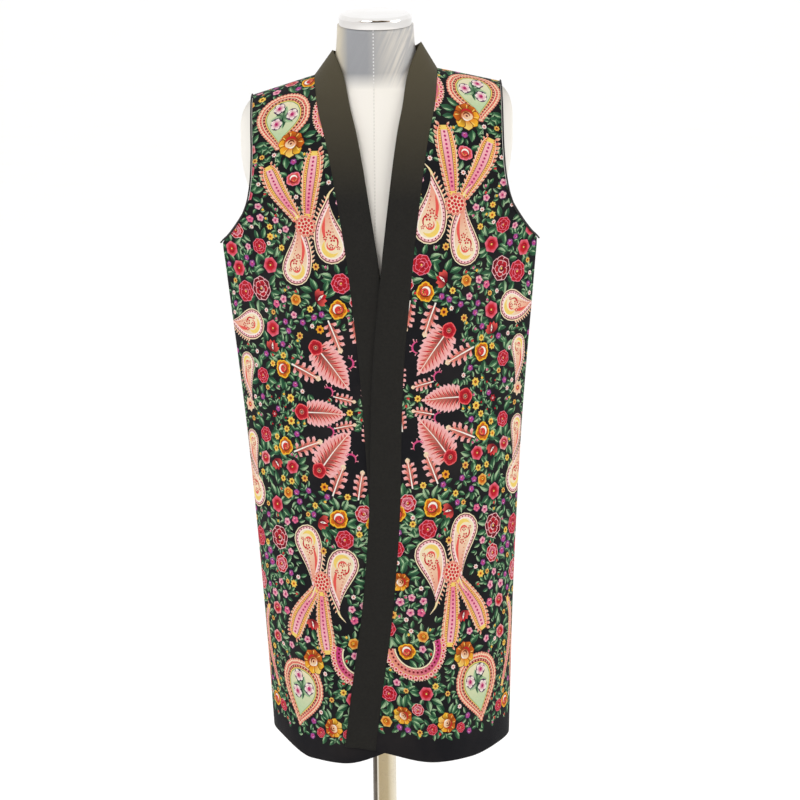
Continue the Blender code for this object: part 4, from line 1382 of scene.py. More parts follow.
def shell_mesh(name, side, face, reverse, loop, inks):
    """A closed thin shell of cloth. face and reverse are (points, normals, triangles, flat) of its two
    sides, and the reverse's points start with the ones that lie behind the face's loop."""
    points, normals, triangles, flat = face
    back_points, _, back_triangles, back_flat = reverse
    count, rim = len(points), len(loop)
    edge = points[loop]
    along = np.roll(edge, -1, axis=0) - np.roll(edge, 1, axis=0)
    outward = unit(np.cross(along, normals[loop]) * side)
    middle = (edge + back_points[:rim]) / 2 + outward * WALL * RIM_ROUND
    ring = np.arange(rim)
    after = (ring + 1) % rim
    upper = np.stack([loop[after], loop, count + ring, count + after], axis=1)
    lower = np.stack([count + after, count + ring, count + rim + ring, count + rim + after], axis=1)
    quads = np.concatenate([upper, lower])
    faces = np.concatenate(
        [triangles, quads[:, (0, 1, 2)], quads[:, (0, 2, 3)], back_triangles[:, ::-1] + count + rim]
    )
    colours = np.ones((len(faces), 3, 4))
    colours[:, :, :3] = INK["ground"]
    colours[: len(triangles), :, :3] = inks
    if side < 0:
        faces, colours = faces[:, ::-1], colours[:, ::-1]
    mesh = smooth_mesh(name, np.concatenate([points, middle, back_points]).tolist(), faces.tolist())
    layer = mesh.color_attributes.new("ink", "FLOAT_COLOR", "CORNER")
    layer.data.foreach_set("color", colours.ravel())
    places = np.concatenate([flat, flat[loop], back_flat])[faces] / 1000.0
    mesh.uv_layers.new(name="flat").data.foreach_set("uv", places.ravel())
    bake = bake_map(flat, back_flat, triangles, back_triangles[:, ::-1], rim)
    if side < 0:
        bake = bake[:, ::-1]
    mesh.uv_layers.new(name="OFBake").data.foreach_set("uv", bake.ravel())
    return mesh


def panel_mesh(name, cloth, flat, triangles, inks):
    """One printed panel as a closed shell on the worn cloth."""
    loop = boundary_loop(triangles)
    edge = flat[loop]
    spots = np.concatenate([edge, inside_points(edge, REVERSE_STEP)])
    sides = ring_sides(len(edge)).tolist()
    cut = delaunay_2d_cdt([Vector(spot) for spot in spots], sides, [], 0, CUT_WITHIN, True)
    given = np.array([first[0] for first in cut[3]])
    rim = given[[side for side, first in zip(cut[1], cut[4]) if first]].tolist()
    back_triangles = enclosed(spots, wound(spots, given[np.array(cut[2])]), rim, edge)
    points, normals = cloth.worn(flat)
    back_points, back_normals = cloth.worn(spots)
    back_points = back_points - back_normals * WALL
    reverse = (back_points, back_normals, back_triangles, spots)
    return shell_mesh(name, cloth.side, (points, normals, triangles, flat), reverse, loop, inks)


def outline_of(cloth, hand, *edges):
    """A flat outline from its edges, each of them places across and distances down."""
    sides = [np.stack(np.broadcast_arrays(across, down), axis=1)[:-1] for across, down in edges]
    around = np.concatenate(sides)
    return cloth.flat(hand * around[:, 0], around[:, 1])


def front_loop(cloth, hand, layer):
    """The outline of one front in its flat plane."""
    down = np.linspace(0.0, LENGTH, EDGE_POINTS)
    seam = seam_place(layer, down) + SEAM_GAP / 2 / at_distance("half", down)
    share = np.linspace(0.0, 1.0, SHORT_EDGE_POINTS)
    top = seam[0] + (1 - seam[0]) * share
    hem = seam[-1] + (1 - seam[-1]) * share[::-1]
    return outline_of(cloth, hand, (top, 0.0), (1.0, down), (hem, LENGTH), (seam[::-1], down[::-1]))


def back_loop(cloth):
    """The outline of the back's left half in its flat plane."""
    neck = SHOULDER_NECK_X / CLOTH["half"][0]
    inside = neck * np.sin(np.linspace(0.0, math.pi / 2, NECK_POINTS))
    top = np.concatenate([inside, np.linspace(neck, 1.0, NECK_POINTS)[1:]])
    down = np.linspace(0.0, LENGTH, EDGE_POINTS)
    hem = np.linspace(1.0, 0.0, SHORT_EDGE_POINTS)
    middle = np.linspace(LENGTH, BACK_NECK_DROP, EDGE_POINTS)
    return outline_of(cloth, 1, (top, back_neckline(top)), (1.0, down), (hem, LENGTH), (0.0, middle))


def front_mesh(name, hand, layer, shapes):
    """A front panel, printed."""
    cloth = ClothMap(-1, layer)
    loop = front_loop(cloth, hand, layer)
    flat, triangles, shown = print_triangles(loop, shapes, FRONT_STEP)
    return panel_mesh(name, cloth, flat, triangles, corner_inks(flat, triangles, shown, shapes))


def back_mesh(name, shapes):
    """The back panel, whose print is mirrored at its middle line."""
    cloth = ClothMap(1, "plain")
    flat, triangles, shown = print_triangles(back_loop(cloth), shapes, BACK_STEP)
    inks = corner_inks(flat, triangles, shown, shapes)
    count = len(flat)
    edge = boundary_loop(triangles)
    middle = edge[np.abs(flat[edge, 0]) < MIDDLE_WITHIN]
    flat[middle, 0] = 0.0
    twin = np.arange(count) + count
    twin[middle] = middle
    mirrored = twin[triangles][:, ::-1]
    both = np.concatenate([flat, flat * (-1.0, 1.0)])
    used, faces = np.unique(np.concatenate([triangles, mirrored]), return_inverse=True)
    inks = np.concatenate([inks, inks[:, ::-1]])
    return panel_mesh(name, cloth, both[used], faces.reshape(-1, 3), inks)


def grid_shell(name, points, flat, side):
    """A shell on a grid of points, such as a band. flat is each point's place in its flat cut."""
    rows, columns = points.shape[:2]
    place = np.arange(rows * columns).reshape(rows, columns)
    a, b, c, d = place[:-1, :-1], place[1:, :-1], place[1:, 1:], place[:-1, 1:]
    quads = np.stack([a, b, c, d], axis=-1).reshape(-1, 4)
    triangles = np.concatenate([quads[:, (0, 1, 2)], quads[:, (0, 2, 3)]])
    down = np.gradient(points, axis=0)
    over = np.gradient(points, axis=1)
    normals = unit(np.cross(down, over).reshape(-1, 3))
    spots = points.reshape(-1, 3)
    loop = boundary_loop(triangles)
    rest = np.setdiff1d(np.arange(rows * columns), loop)
    order = np.concatenate([loop, rest])
    back = np.argsort(order)
    outward = normals * side
    reverse = ((spots - outward * WALL)[order], None, back[triangles], flat.reshape(-1, 2)[order])
    face = (spots, outward, triangles, flat.reshape(-1, 2))
    inks = np.broadcast_to(INK["ground"], (len(triangles), 3, 3))
    return shell_mesh(name, side, face, reverse, loop, inks)


def toward_neck(seam):
    """Unit vectors, level, from points on the neckline to the neck's axis."""
    level = -seam.copy()
    level[:, 2] = 0.0
    return unit(level)


def band_rows(hand, layer, front_steps=170, back_steps=44, across_steps=13):
    """Band stations from the hem up to the shoulder and round to the middle of the back."""
    down = np.linspace(LENGTH, 0.0, front_steps)
    half = at_distance("half", down)
    seam = seam_place(layer, down)
    share = np.linspace(0.0, 1.0, across_steps)
    reach = SEAM_GAP / 2 + (BAND_WIDTH - SEAM_GAP / 2) * share
    flat = cloth_points(-1, down[:, None], hand * (seam[:, None] - reach[None, :] / half[:, None]), layer)
    start = flat[:, 0, :]
    lying = unit(flat[:, -1, :] - start)
    standing = np.array([-hand * BAND_LEAN_SIDE[hand], 0.0, 1.0]) / math.hypot(BAND_LEAN_SIDE[hand], 1.0)
    upright = smooth_step(1.0 - down / BAND_LIES_AT)[:, None]
    direction = unit((1 - upright) * lying + upright * standing)
    stood = start[:, None, :] + direction[:, None, :] * (reach - reach[0])[None, :, None]
    front = (1 - upright[:, :, None]) * flat + upright[:, :, None] * stood

    round_share = np.linspace(0.0, 1.0, back_steps)[1:]
    across = hand * SHOULDER_NECK_X / CLOTH["half"][0] * np.cos(round_share * math.pi / 2)
    seam = cloth_points(1, back_neckline(across), across)
    side_share = np.abs(seam[:, 0:1]) / SHOULDER_NECK_X
    lean = BAND_LEAN_BACK + (BAND_LEAN_SIDE[hand] - BAND_LEAN_BACK) * side_share**2
    direction = unit(lean * toward_neck(seam) + np.array([0.0, 0.0, 1.0]))
    reach = NECK_GAP + (BAND_WIDTH - NECK_GAP) * share
    back = seam[:, None, :] + direction[:, None, :] * reach[None, :, None]
    back[-1, :, 0] = hand * NECK_GAP
    return np.concatenate([front, back])


def band_mesh(name, hand, layer):
    """A doubled band as a closed shell."""
    points = band_rows(hand, layer)
    far = run_along(points[:, 0])
    across = np.linspace(0.0, BAND_WIDTH, points.shape[1])
    flat = np.stack(np.broadcast_arrays(across[None, :], far[:, None]), axis=-1) * 1000.0
    return grid_shell(name, points, flat, hand)


def tube_mesh(name, line, radius, sides=12):
    """A round cord of thread or rolled cloth along a closed line."""
    line = np.asarray(line)
    along = unit(np.roll(line, -1, axis=0) - np.roll(line, 1, axis=0))
    out = line - line.mean(0)
    out = unit(out - (out * along).sum(1)[:, None] * along)
    up = np.cross(along, out)
    turn = np.linspace(0.0, 2 * math.pi, sides, endpoint=False)
    ring = out[:, None] * np.cos(turn)[None, :, None] + up[:, None] * np.sin(turn)[None, :, None]
    points = line[:, None] + ring * radius
    count = len(line)
    place = np.arange(count * sides).reshape(count, sides)
    after, beside = np.roll(place, -1, axis=0), np.roll(place, -1, axis=1)
    quads = np.stack([place, after, np.roll(after, -1, axis=1), beside], axis=-1).reshape(-1, 4)
    mesh = smooth_mesh(name, points.reshape(-1, 3).tolist(), quads.tolist())
    far = run_along(line)
    uv = np.stack(np.broadcast_arrays(turn[None, :] * radius, far[:, None]), axis=-1).reshape(-1, 2)
    mesh.uv_layers.new(name="flat").data.foreach_set("uv", uv[quads].ravel())
    return mesh


def edging_mesh(name, hand, steps=70):
    """The thin rolled edge round one armhole."""
    down = UNDERARM * np.linspace(0.0, 1.0, steps) ** 1.25
    halves = []
    for side in (-1, 1):
        edge = cloth_points(side, down, np.full(steps, float(hand)))
        inner = cloth_points(side, down, np.full(steps, hand * EDGING_READ_AT))
        outward = unit(edge - inner)
        face = unit(np.cross(outward, np.gradient(edge, axis=0)) * -hand * side)
        halves.append(edge + outward * (EDGING_RADIUS + NECK_GAP) - face * 0.001)
    front, back = halves
    top = (front[0] + back[0]) / 2
    bottom = (front[-1] + back[-1]) / 2
    bottom[0] += hand * EDGING_RADIUS
    return tube_mesh(name, [top, *front[1:-1], bottom, *back[-2:0:-1]], EDGING_RADIUS)


# Level sections of the dress form, neck first: the height, the half width, the depths at the front and
# the back, and the power, as in the cloth's table
FORM_ROWS = (
    (1.4700, 0.0560, 0.0600, 0.0500, 0.50),
    (1.4450, 0.0575, 0.0595, 0.0510, 0.50),
    (1.4250, 0.0600, 0.0585, 0.0525, 0.52),
    (1.4120, 0.0650, 0.0575, 0.0530, 0.62),
    (1.4045, 0.0740, 0.0570, 0.0530, 0.85),
    (1.3995, 0.0880, 0.0565, 0.0520, 1.20),
    (1.3904, 0.1249, 0.0570, 0.0525, 1.80),
    (1.3804, 0.1610, 0.0585, 0.0540, 1.90),
    (1.3740, 0.1810, 0.0610, 0.0560, 1.70),
    (1.3630, 0.1920, 0.0650, 0.0590, 1.35),
    (1.3480, 0.1985, 0.0710, 0.0640, 1.00),
    (1.3300, 0.2010, 0.0770, 0.0690, 0.80),
    (1.3000, 0.2010, 0.0850, 0.0770, 0.70),
    (1.2700, 0.1985, 0.0920, 0.0830, 0.65),
    (1.2400, 0.1920, 0.0980, 0.0870, 0.60),
    (1.2100, 0.1810, 0.1030, 0.0890, 0.55),
    (1.1800, 0.1700, 0.1080, 0.0900, 0.52),
    (1.1500, 0.1620, 0.1120, 0.0900, 0.50),
    (1.1150, 0.1570, 0.1150, 0.0880, 0.50),
    (1.0700, 0.1470, 0.1100, 0.0830, 0.50),
    (1.0200, 0.1330, 0.0980, 0.0760, 0.50),
    (0.9700, 0.1240, 0.0890, 0.0730, 0.50),
    (0.9200, 0.1300, 0.0900, 0.0800, 0.50),
    (0.8500, 0.1510, 0.0980, 0.0950, 0.50),
    (0.7800, 0.1610, 0.1020, 0.1030, 0.50),
    (0.7250, 0.1580, 0.0990, 0.1010, 0.50),
    (0.6950, 0.1480, 0.0920, 0.0940, 0.50),
    (0.6900, 0.1430, 0.0880, 0.0900, 0.50),
)
# The neck's top and its lid slope down to the front
NECK_SLANT = math.tan(math.radians(8.0))
NECK_SLANT_FROM_Z = 1.425
FORM_TILT_NECK_Z = 1.44
FORM_TILT_TOP_Z = 1.4045
FORM_TILT_FULL_Z = 1.32
FORM_TILT_END_Z = 1.20


def form_mesh(name, steps=230, sides=200):
    """The padded torso, a smooth loft through its level sections."""
    table_rows = np.array(FORM_ROWS)
    far = run_along(table_rows[:, :2])
    at = np.linspace(0.0, far[-1], steps)[:, None]
    z, half, front, back, power = (monotone_curve(far, table_rows[:, k], at) for k in range(5))
    turn = np.linspace(0.0, 2 * math.pi, sides, endpoint=False)[None, :]
    x = half * np.sin(turn)
    ahead = np.cos(turn)
    y = np.where(ahead > 0, -front, back) * np.abs(ahead) ** (2 * power)
    below = smooth_step((z - FORM_TILT_END_Z) / (FORM_TILT_FULL_Z - FORM_TILT_END_Z))
    above = smooth_step((FORM_TILT_NECK_Z - z) / (FORM_TILT_NECK_Z - FORM_TILT_TOP_Z))
    tilt = NECK_SLANT * smooth_step((z - NECK_SLANT_FROM_Z) / (FORM_ROWS[0][0] - NECK_SLANT_FROM_Z))
    points = np.stack([x, y, z + SHOULDER_TILT * below * above * x + tilt * (y + CAP_FORWARD)], axis=-1)
    place = np.arange(steps * sides).reshape(steps, sides)
    upper, lower = place[:-1], place[1:]
    quads = np.stack([upper, lower, np.roll(lower, -1, 1), np.roll(upper, -1, 1)], axis=-1).reshape(-1, 4)
    faces = quads.tolist() + [place[0].tolist(), place[-1][::-1].tolist()]
    return smooth_mesh(name, points.reshape(-1, 3).tolist(), faces)


def turned_mesh(name, profile, sides=120, at=(0.0, 0.0, 0.0), stretch=1.0):
    """A piece turned round a vertical axis from a profile of (radius, height) points, top to bottom."""
    profile = np.array(profile)
    turn = np.linspace(0.0, 2 * math.pi, sides, endpoint=False)
    ring = np.stack([np.cos(turn), np.sin(turn) * stretch], axis=1)
    body = profile[1:-1]
    points = [
        (at[0] + radius * x, at[1] + radius * y, at[2] + height)
        for radius, height in body
        for x, y in ring
    ]
    points += [(at[0], at[1], at[2] + profile[0][1]), (at[0], at[1], at[2] + profile[-1][1])]
    faces = []
    count = len(body)
    for row in range(count - 1):
        for k in range(sides):
            low, high = row * sides, (row + 1) * sides
            after = (k + 1) % sides
            faces.append((low + k, high + k, high + after, low + after))
    for k in range(sides):
        after = (k + 1) % sides
        faces.append((count * sides, k, after))
        faces.append((count * sides + 1, (count - 1) * sides + after, (count - 1) * sides + k))
    return smooth_mesh(name, points, faces)


def rounded(corner, radius, start, end, steps=6):
    """Profile points round a corner's centre."""
    return [
        (corner[0] + radius * math.cos(angle), corner[1] + radius * math.sin(angle))
        for angle in np.radians(np.linspace(start, end, steps))
    ]


# The form's stitched seam, and the lid with its domed top and rounded edges
SEAM_STITCH_X = -0.003
CAP_RADIUS = 0.0535
CAP_HEIGHT = 0.017
CAP_CROWN = 0.0015
CAP_ROUND = 0.006
CAP_STRETCH = 0.98
CAP_FORWARD = 0.005
CAP_FOOT_ROUND = 0.0008
# The tube stands in the socket of the base, whose plate falls away from a collar to its rim
POLE_RADIUS = 0.018
SOCKET_Z = 0.008
COLLAR_RADIUS = 0.030
COLLAR_Z = 0.060
COLLAR_ROUND = 0.004
COLLAR_BEVEL = 0.001
BASE_RADIUS = 0.165
BASE_ROUND = 0.0028
BASE_BEVEL = 0.0008


def cap_mesh(name):
    """The lid on the neck."""
    dome = [
        (radius, CAP_HEIGHT + CAP_CROWN * (1 - (radius / (CAP_RADIUS - CAP_ROUND)) ** 2))
        for radius in np.linspace(0.0, CAP_RADIUS - CAP_ROUND, 10)
    ]
    shoulder = rounded((CAP_RADIUS - CAP_ROUND, CAP_HEIGHT - CAP_ROUND), CAP_ROUND, 90, 0, 9)[1:]
    foot = rounded((CAP_RADIUS - CAP_FOOT_ROUND, CAP_FOOT_ROUND), CAP_FOOT_ROUND, 0, -90, 4)
    profile = dome + shoulder + foot + [(0.0, 0.0)]
    mesh = turned_mesh(name, profile, 160, (0.0, 0.0, SEAM_GAP), CAP_STRETCH)
    mesh.transform(Matrix.Rotation(math.atan(NECK_SLANT), 4, "X"))
    mesh.transform(Matrix.Translation((0.0, -CAP_FORWARD, FORM_ROWS[0][0])))
    return mesh


def pole_mesh(name):
    """The straight tube."""
    low, high = SOCKET_Z + SEAM_GAP, FORM_ROWS[-1][0] - SEAM_GAP
    levels = np.linspace(high, low, 12)
    profile = [(0.0, high)] + [(POLE_RADIUS, level) for level in levels] + [(0.0, low)]
    return turned_mesh(name, profile, 96)


def base_mesh(name):
    """The round plate with its collar."""
    socket = POLE_RADIUS + SEAM_GAP
    profile = [
        (0.0, SOCKET_Z),
        (socket, SOCKET_Z),
        (socket, 0.0590),
        (socket + COLLAR_BEVEL, COLLAR_Z),
        *rounded((COLLAR_RADIUS - COLLAR_ROUND, COLLAR_Z - COLLAR_ROUND), COLLAR_ROUND, 90, 0),
        (COLLAR_RADIUS, 0.018),
        (0.0315, 0.0155),
        (0.036, 0.014),
        (BASE_RADIUS * 0.60, 0.012),
        (0.130, 0.0100),
        *rounded((BASE_RADIUS - 0.003, 0.0052), BASE_ROUND, 90, 0),
        (BASE_RADIUS, BASE_BEVEL),
        (0.1642, 0.0),
        (0.0, 0.0),
    ]
    return turned_mesh(name, profile, 160)


class Look:
    """A material being built: its node tree, with short ways to add and join nodes."""

    def __init__(self, name, roughness=0.6, metallic=0.0):
        self.material = bpy.data.materials.new(name)
        self.material.use_nodes = True
        self.tree = self.material.node_tree
        self.shader = self.tree.nodes["Principled BSDF"]
        self.shader.inputs["Roughness"].default_value = roughness
        self.shader.inputs["Metallic"].default_value = metallic

    def add(self, kind, inputs=None, **settings):
        """A node with its settings. An input is a number, a colour or another node's output."""
        node = self.tree.nodes.new(kind)
        for name, value in settings.items():
            setattr(node, name, value)
        for name, value in (inputs or {}).items():
            if isinstance(value, bpy.types.NodeSocket):
                self.tree.links.new(value, node.inputs[name])
            else:
                node.inputs[name].default_value = value
        return node

    def join(self, output, name):
        self.tree.links.new(output, self.shader.inputs[name])

    def uv(self):
        return self.add("ShaderNodeUVMap", uv_map="flat").outputs["UV"]

    def place(self):
        return self.add("ShaderNodeTexCoord").outputs["Object"]

    def noise(self, at, scale, detail=3.0, rough=0.55):
        inputs = {"Vector": at, "Scale": scale, "Detail": detail, "Roughness": rough}
        return self.add("ShaderNodeTexNoise", inputs).outputs["Fac"]

    def wave(self, at, pitch, direction, distortion=0.0, detail_scale=1.0):
        """Threads of that pitch, in the same units as the place that is read."""
        inputs = {"Scale": WAVES_PER_UNIT / pitch, "Distortion": distortion, "Detail Scale": detail_scale}
        node = self.add("ShaderNodeTexWave", {"Vector": at, **inputs}, bands_direction=direction)
        return node.outputs["Fac"]

    def sum(self, first, second, kind="ADD"):
        node = self.add("ShaderNodeMath", operation=kind)
        for socket, value in zip(node.inputs, (first, second)):
            if isinstance(value, bpy.types.NodeSocket):
                self.tree.links.new(value, socket)
            else:
                socket.default_value = value
        return node.outputs["Value"]

    def ranged(self, value, low, high, from_low=0.0, from_high=1.0):
        span = {"From Min": from_low, "From Max": from_high, "To Min": low, "To Max": high}
        return self.add("ShaderNodeMapRange", {"Value": value, **span}).outputs["Result"]

    def mapped(self, at, scale, turn=(0.0, 0.0, 0.0)):
        """A place stretched and turned."""
        inputs = {"Vector": at, "Rotation": turn, "Scale": scale}
        return self.add("ShaderNodeMapping", inputs).outputs["Vector"]

    def part(self, at, name):
        """The X, Y or Z of a place."""
        return self.add("ShaderNodeSeparateXYZ", {"Vector": at}).outputs[name]

    def blend(self, share, first, second, kind="MIX"):
        """A mix of two colours."""
        node = self.add("ShaderNodeMix", data_type="RGBA", blend_type=kind)
        for socket, value in zip((node.inputs[0], node.inputs[6], node.inputs[7]), (share, first, second)):
            if isinstance(value, bpy.types.NodeSocket):
                self.tree.links.new(value, socket)
            else:
                socket.default_value = value
        return node.outputs[2]

    def bump(self, height, strength, distance, below=None):
        inputs = {"Height": height, "Strength": strength, "Distance": distance}
        if below is not None:
            inputs["Normal"] = below
        return self.add("ShaderNodeBump", inputs).outputs["Normal"]


# How many waves a wave texture has in one unit of its place at scale 1, to set the pitch of threads by
WAVES_PER_UNIT = 0.314


def opaque(colour):
    return (*linear(colour), 1.0)


def woven(look, pitch):
    """The height of a plain weave of that thread pitch, with slubs."""
    at = look.uv()
    warp = look.wave(at, pitch, "X", 0.6, 3.0)
    weft = look.wave(at, pitch, "Y", 0.6, 3.0)
    slubs = look.noise(at, 260.0, 4.0)
    return look.sum(look.sum(warp, weft, "MULTIPLY"), slubs)


def printed_cloth():
    """Soft matt cotton with the print in it: thread by thread variation, a little fading and lint."""
    look = Look("printed_cloth")
    at = look.uv()
    ink = look.add("ShaderNodeVertexColor", layer_name="ink").outputs["Color"]
    weave = woven(look, 0.00055)
    threads = look.ranged(weave, 0.74, 0.96, 0.2, 1.4)
    grey = look.add("ShaderNodeCombineColor", {name: threads for name in ("Red", "Green", "Blue")})
    shaded = look.blend(1.0, ink, grey.outputs["Color"], "MULTIPLY")
    patches = look.ranged(look.noise(at, 9.0, 4.0), 0.0, 0.035, 0.45, 0.75)
    faded = look.blend(patches, shaded, opaque((150, 132, 120)))
    look.join(faded, "Base Color")
    look.join(look.ranged(look.noise(at, 40.0), 0.66, 0.86), "Roughness")
    soft = look.bump(look.noise(at, 22.0, 3.0), 0.16, 0.004)
    look.join(look.bump(weave, 0.35, 0.0003, soft), "Normal")
    look.shader.inputs["Sheen Weight"].default_value = 0.015
    look.shader.inputs["Sheen Roughness"].default_value = 0.4
    look.shader.inputs["Specular IOR Level"].default_value = 0.10
    return look.material


def band_cloth():
    """Dark olive grey twill with a painted sheen: its colour is painted lighter towards the collar, where
    the light catches it.
    """
    look = Look("band_cloth")
    at = look.uv()
    # painted sheen: the base colour is lightened from z 1.22 up to 1.44, standing for the light that falls
    # on the collar
    high = look.ranged(look.part(look.place(), "Z"), 0.0, 1.0, 1.22, 1.44)
    base = look.blend(high, opaque((25, 25, 25)), opaque((84, 78, 61)))
    weave = woven(look, 0.0006)
    tint = look.ranged(weave, 0.0, 0.22, 0.3, 1.5)
    look.join(look.blend(tint, base, opaque((78, 74, 62))), "Base Color")
    look.join(look.ranged(look.noise(at, 60.0), 0.62, 0.85), "Roughness")
    soft = look.bump(look.noise(at, 30.0, 3.0), 0.20, 0.003)
    look.join(look.bump(weave, 0.5, 0.0004, soft), "Normal")
    look.shader.inputs["Sheen Weight"].default_value = 0.02
    look.shader.inputs["Specular IOR Level"].default_value = 0.12
    return look.material


def edging_cloth():
    """Near black rolled edge with the ribs of its thread."""
    look = Look("edging_cloth")
    at = look.uv()
    ribs = look.wave(at, 0.0009, "Y", 1.0, 2.0)
    black = look.blend(look.ranged(ribs, 0.0, 0.5), opaque((17, 17, 19)), opaque((44, 42, 42)))
    look.join(black, "Base Color")
    look.join(look.ranged(look.noise(at, 90.0), 0.60, 0.85), "Roughness")
    look.join(look.bump(ribs, 0.6, 0.0004), "Normal")
    return look.material


def form_cover():
    """Pearly stretch knit with painted shade at the neck, which is painted greyer, darker on its -X side
    and streaked, and with a stitched seam down the front.
    """
    look = Look("form_cover")
    at = look.place()
    parts = look.add("ShaderNodeSeparateXYZ", {"Vector": at}).outputs
    slanted = look.mapped(at, (1.0, 1.0, 1.0), (0.0, math.radians(-24), 0.0))
    ribs = look.wave(slanted, 0.0011, "X", 1.2, 2.0)
    streaks = look.noise(look.mapped(slanted, (190.0, 20.0, 9.0)), 1.0, 3.0)
    # painted shade: the neck is greyed from z 1.378 up to 1.402, darkest on its -X side and lighter towards
    # +X, warmer at its far -X edge, with darker painted streaks, standing for the shade under the light
    # from above
    neck = look.ranged(parts["Z"], 0.0, 1.0, 1.378, 1.402)
    right = look.ranged(parts["X"], 0.0, 1.0, -0.012, 0.030)
    grey = look.blend(right, opaque((146, 148, 152)), opaque((206, 202, 194)))
    far_left = look.ranged(parts["X"], 1.0, 0.0, -0.053, -0.040)
    grey = look.blend(far_left, grey, opaque((196, 186, 162)))
    painted_shade_streaks = look.ranged(streaks, 0.0, 0.75, 0.42, 0.60)
    painted_shade_streaks = look.sum(painted_shade_streaks, look.ranged(right, 0.25, 1.0), "MULTIPLY")
    grey = look.blend(painted_shade_streaks, grey, opaque((158, 160, 164)))
    base = look.blend(neck, opaque((233, 230, 223)), grey)
    seam_off = look.sum(look.sum(parts["X"], SEAM_STITCH_X, "SUBTRACT"), 0.0, "ABSOLUTE")
    ridge = look.ranged(seam_off, 1.0, 0.0, 0.0003, 0.0012)
    dashes = look.ranged(look.wave(at, 0.0050, "Z"), 0.0, 1.0, 0.45, 0.60)
    front = look.ranged(parts["Y"], 1.0, 0.0, -0.02, 0.0)
    stitches = look.sum(look.sum(ridge, dashes, "MULTIPLY"), front, "MULTIPLY")
    thread = look.blend(neck, opaque((216, 213, 207)), opaque((236, 236, 238)))
    look.join(look.blend(stitches, base, thread), "Base Color")
    look.join(look.ranged(streaks, 0.32, 0.50, 0.3, 0.7), "Roughness")
    knit = look.bump(ribs, 0.25, 0.0004)
    look.join(look.bump(stitches, 0.6, 0.0006, look.bump(ridge, 0.4, 0.0005, knit)), "Normal")
    look.shader.inputs["Sheen Weight"].default_value = 0.10
    look.shader.inputs["Sheen Roughness"].default_value = 0.25
    return look.material


# The room's light from the viewer's side, at 0, to the far side, at 1
ROOM_STRENGTH = 1.15
ROOM_STOPS = (
    (0.07, (0.05, 0.035, 0.025, 1.0)),
    (0.14, (0.40, 0.30, 0.21, 1.0)),
    (0.22, (1.0, 1.0, 1.0, 1.0)),
)
# Painted reflections on the tube: upright bands of tone, a dark reflected stripe, a thin painted highlight
# and a lighter +X side, from its -X edge at 0 to its +X edge at 1
TUBE_PAINTED_REFLECTIONS = (
    (0.00, (74, 66, 56)),
    (0.17, (70, 62, 52)),
    (0.21, (226, 220, 206)),
    (0.27, (164, 148, 116)),
    (0.62, (172, 157, 125)),
    (0.80, (206, 196, 172)),
    (1.00, (226, 219, 202)),
)


def set_stops(ramp, stops):
    """Gives a ramp its stops, each a place and a colour."""
    steps = ramp.color_ramp.elements
    while len(steps) < len(stops):
        steps.new(0.5)
    for step, (place, tone) in zip(steps, stops):
        step.position = place
        step.color = tone


def polished(name, colour, roughness, painted_reflections=()):
    """Bright metal with faint smears and hair scratches; given painted reflections, its colour is painted
    in upright bands across X.
    """
    look = Look(name, metallic=1.0)
    at = look.place()
    smears = look.noise(at, 26.0, 4.0)
    hairs = look.noise(look.mapped(at, (90.0, 90.0, 900.0)), 1.0, 2.0)
    tint = look.ranged(smears, 0.0, 0.22, 0.4, 0.8)
    base = opaque(colour)
    # painted reflections: upright bands of tone across the tube, standing for the dark and light things
    # that it mirrors
    if painted_reflections:
        along = look.ranged(look.part(at, "X"), 0.0, 1.0, -POLE_RADIUS, POLE_RADIUS)
        ramp = look.add("ShaderNodeValToRGB", {"Fac": along})
        set_stops(ramp, [(place, opaque(tone)) for place, tone in painted_reflections])
        base = ramp.outputs["Color"]
    look.join(look.blend(tint, base, opaque((196, 186, 172))), "Base Color")
    worn = look.sum(smears, hairs, "MULTIPLY")
    look.join(look.ranged(worn, roughness, roughness * 2.4, 0.1, 0.5), "Roughness")
    look.join(look.bump(hairs, 0.05, 0.0002), "Normal")
    return look.material


def in_scene(name, data):
    """An object of that mesh, lamp or camera, linked into the scene."""
    made = bpy.data.objects.new(name, data)
    bpy.context.scene.collection.objects.link(made)
    return made


def placed_piece(mesh, look, node):
    """Puts a piece in the scene in place of its solid."""
    piece = in_scene(mesh.name, mesh)
    mesh.materials.append(look)
    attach(piece, "root")
    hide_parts(node)
    return piece


def soft_light(name, at, aim, size, power, colour=(1.0, 1.0, 1.0)):
    """A large soft lamp that points at a place."""
    lamp = bpy.data.lights.new(name, "AREA")
    lamp.shape = "DISK"
    lamp.size = size
    lamp.energy = power
    lamp.color = colour
    made = in_scene(name, lamp)
    made.location = at
    made.rotation_euler = (Vector(aim) - Vector(at)).to_track_quat("-Z", "Y").to_euler()


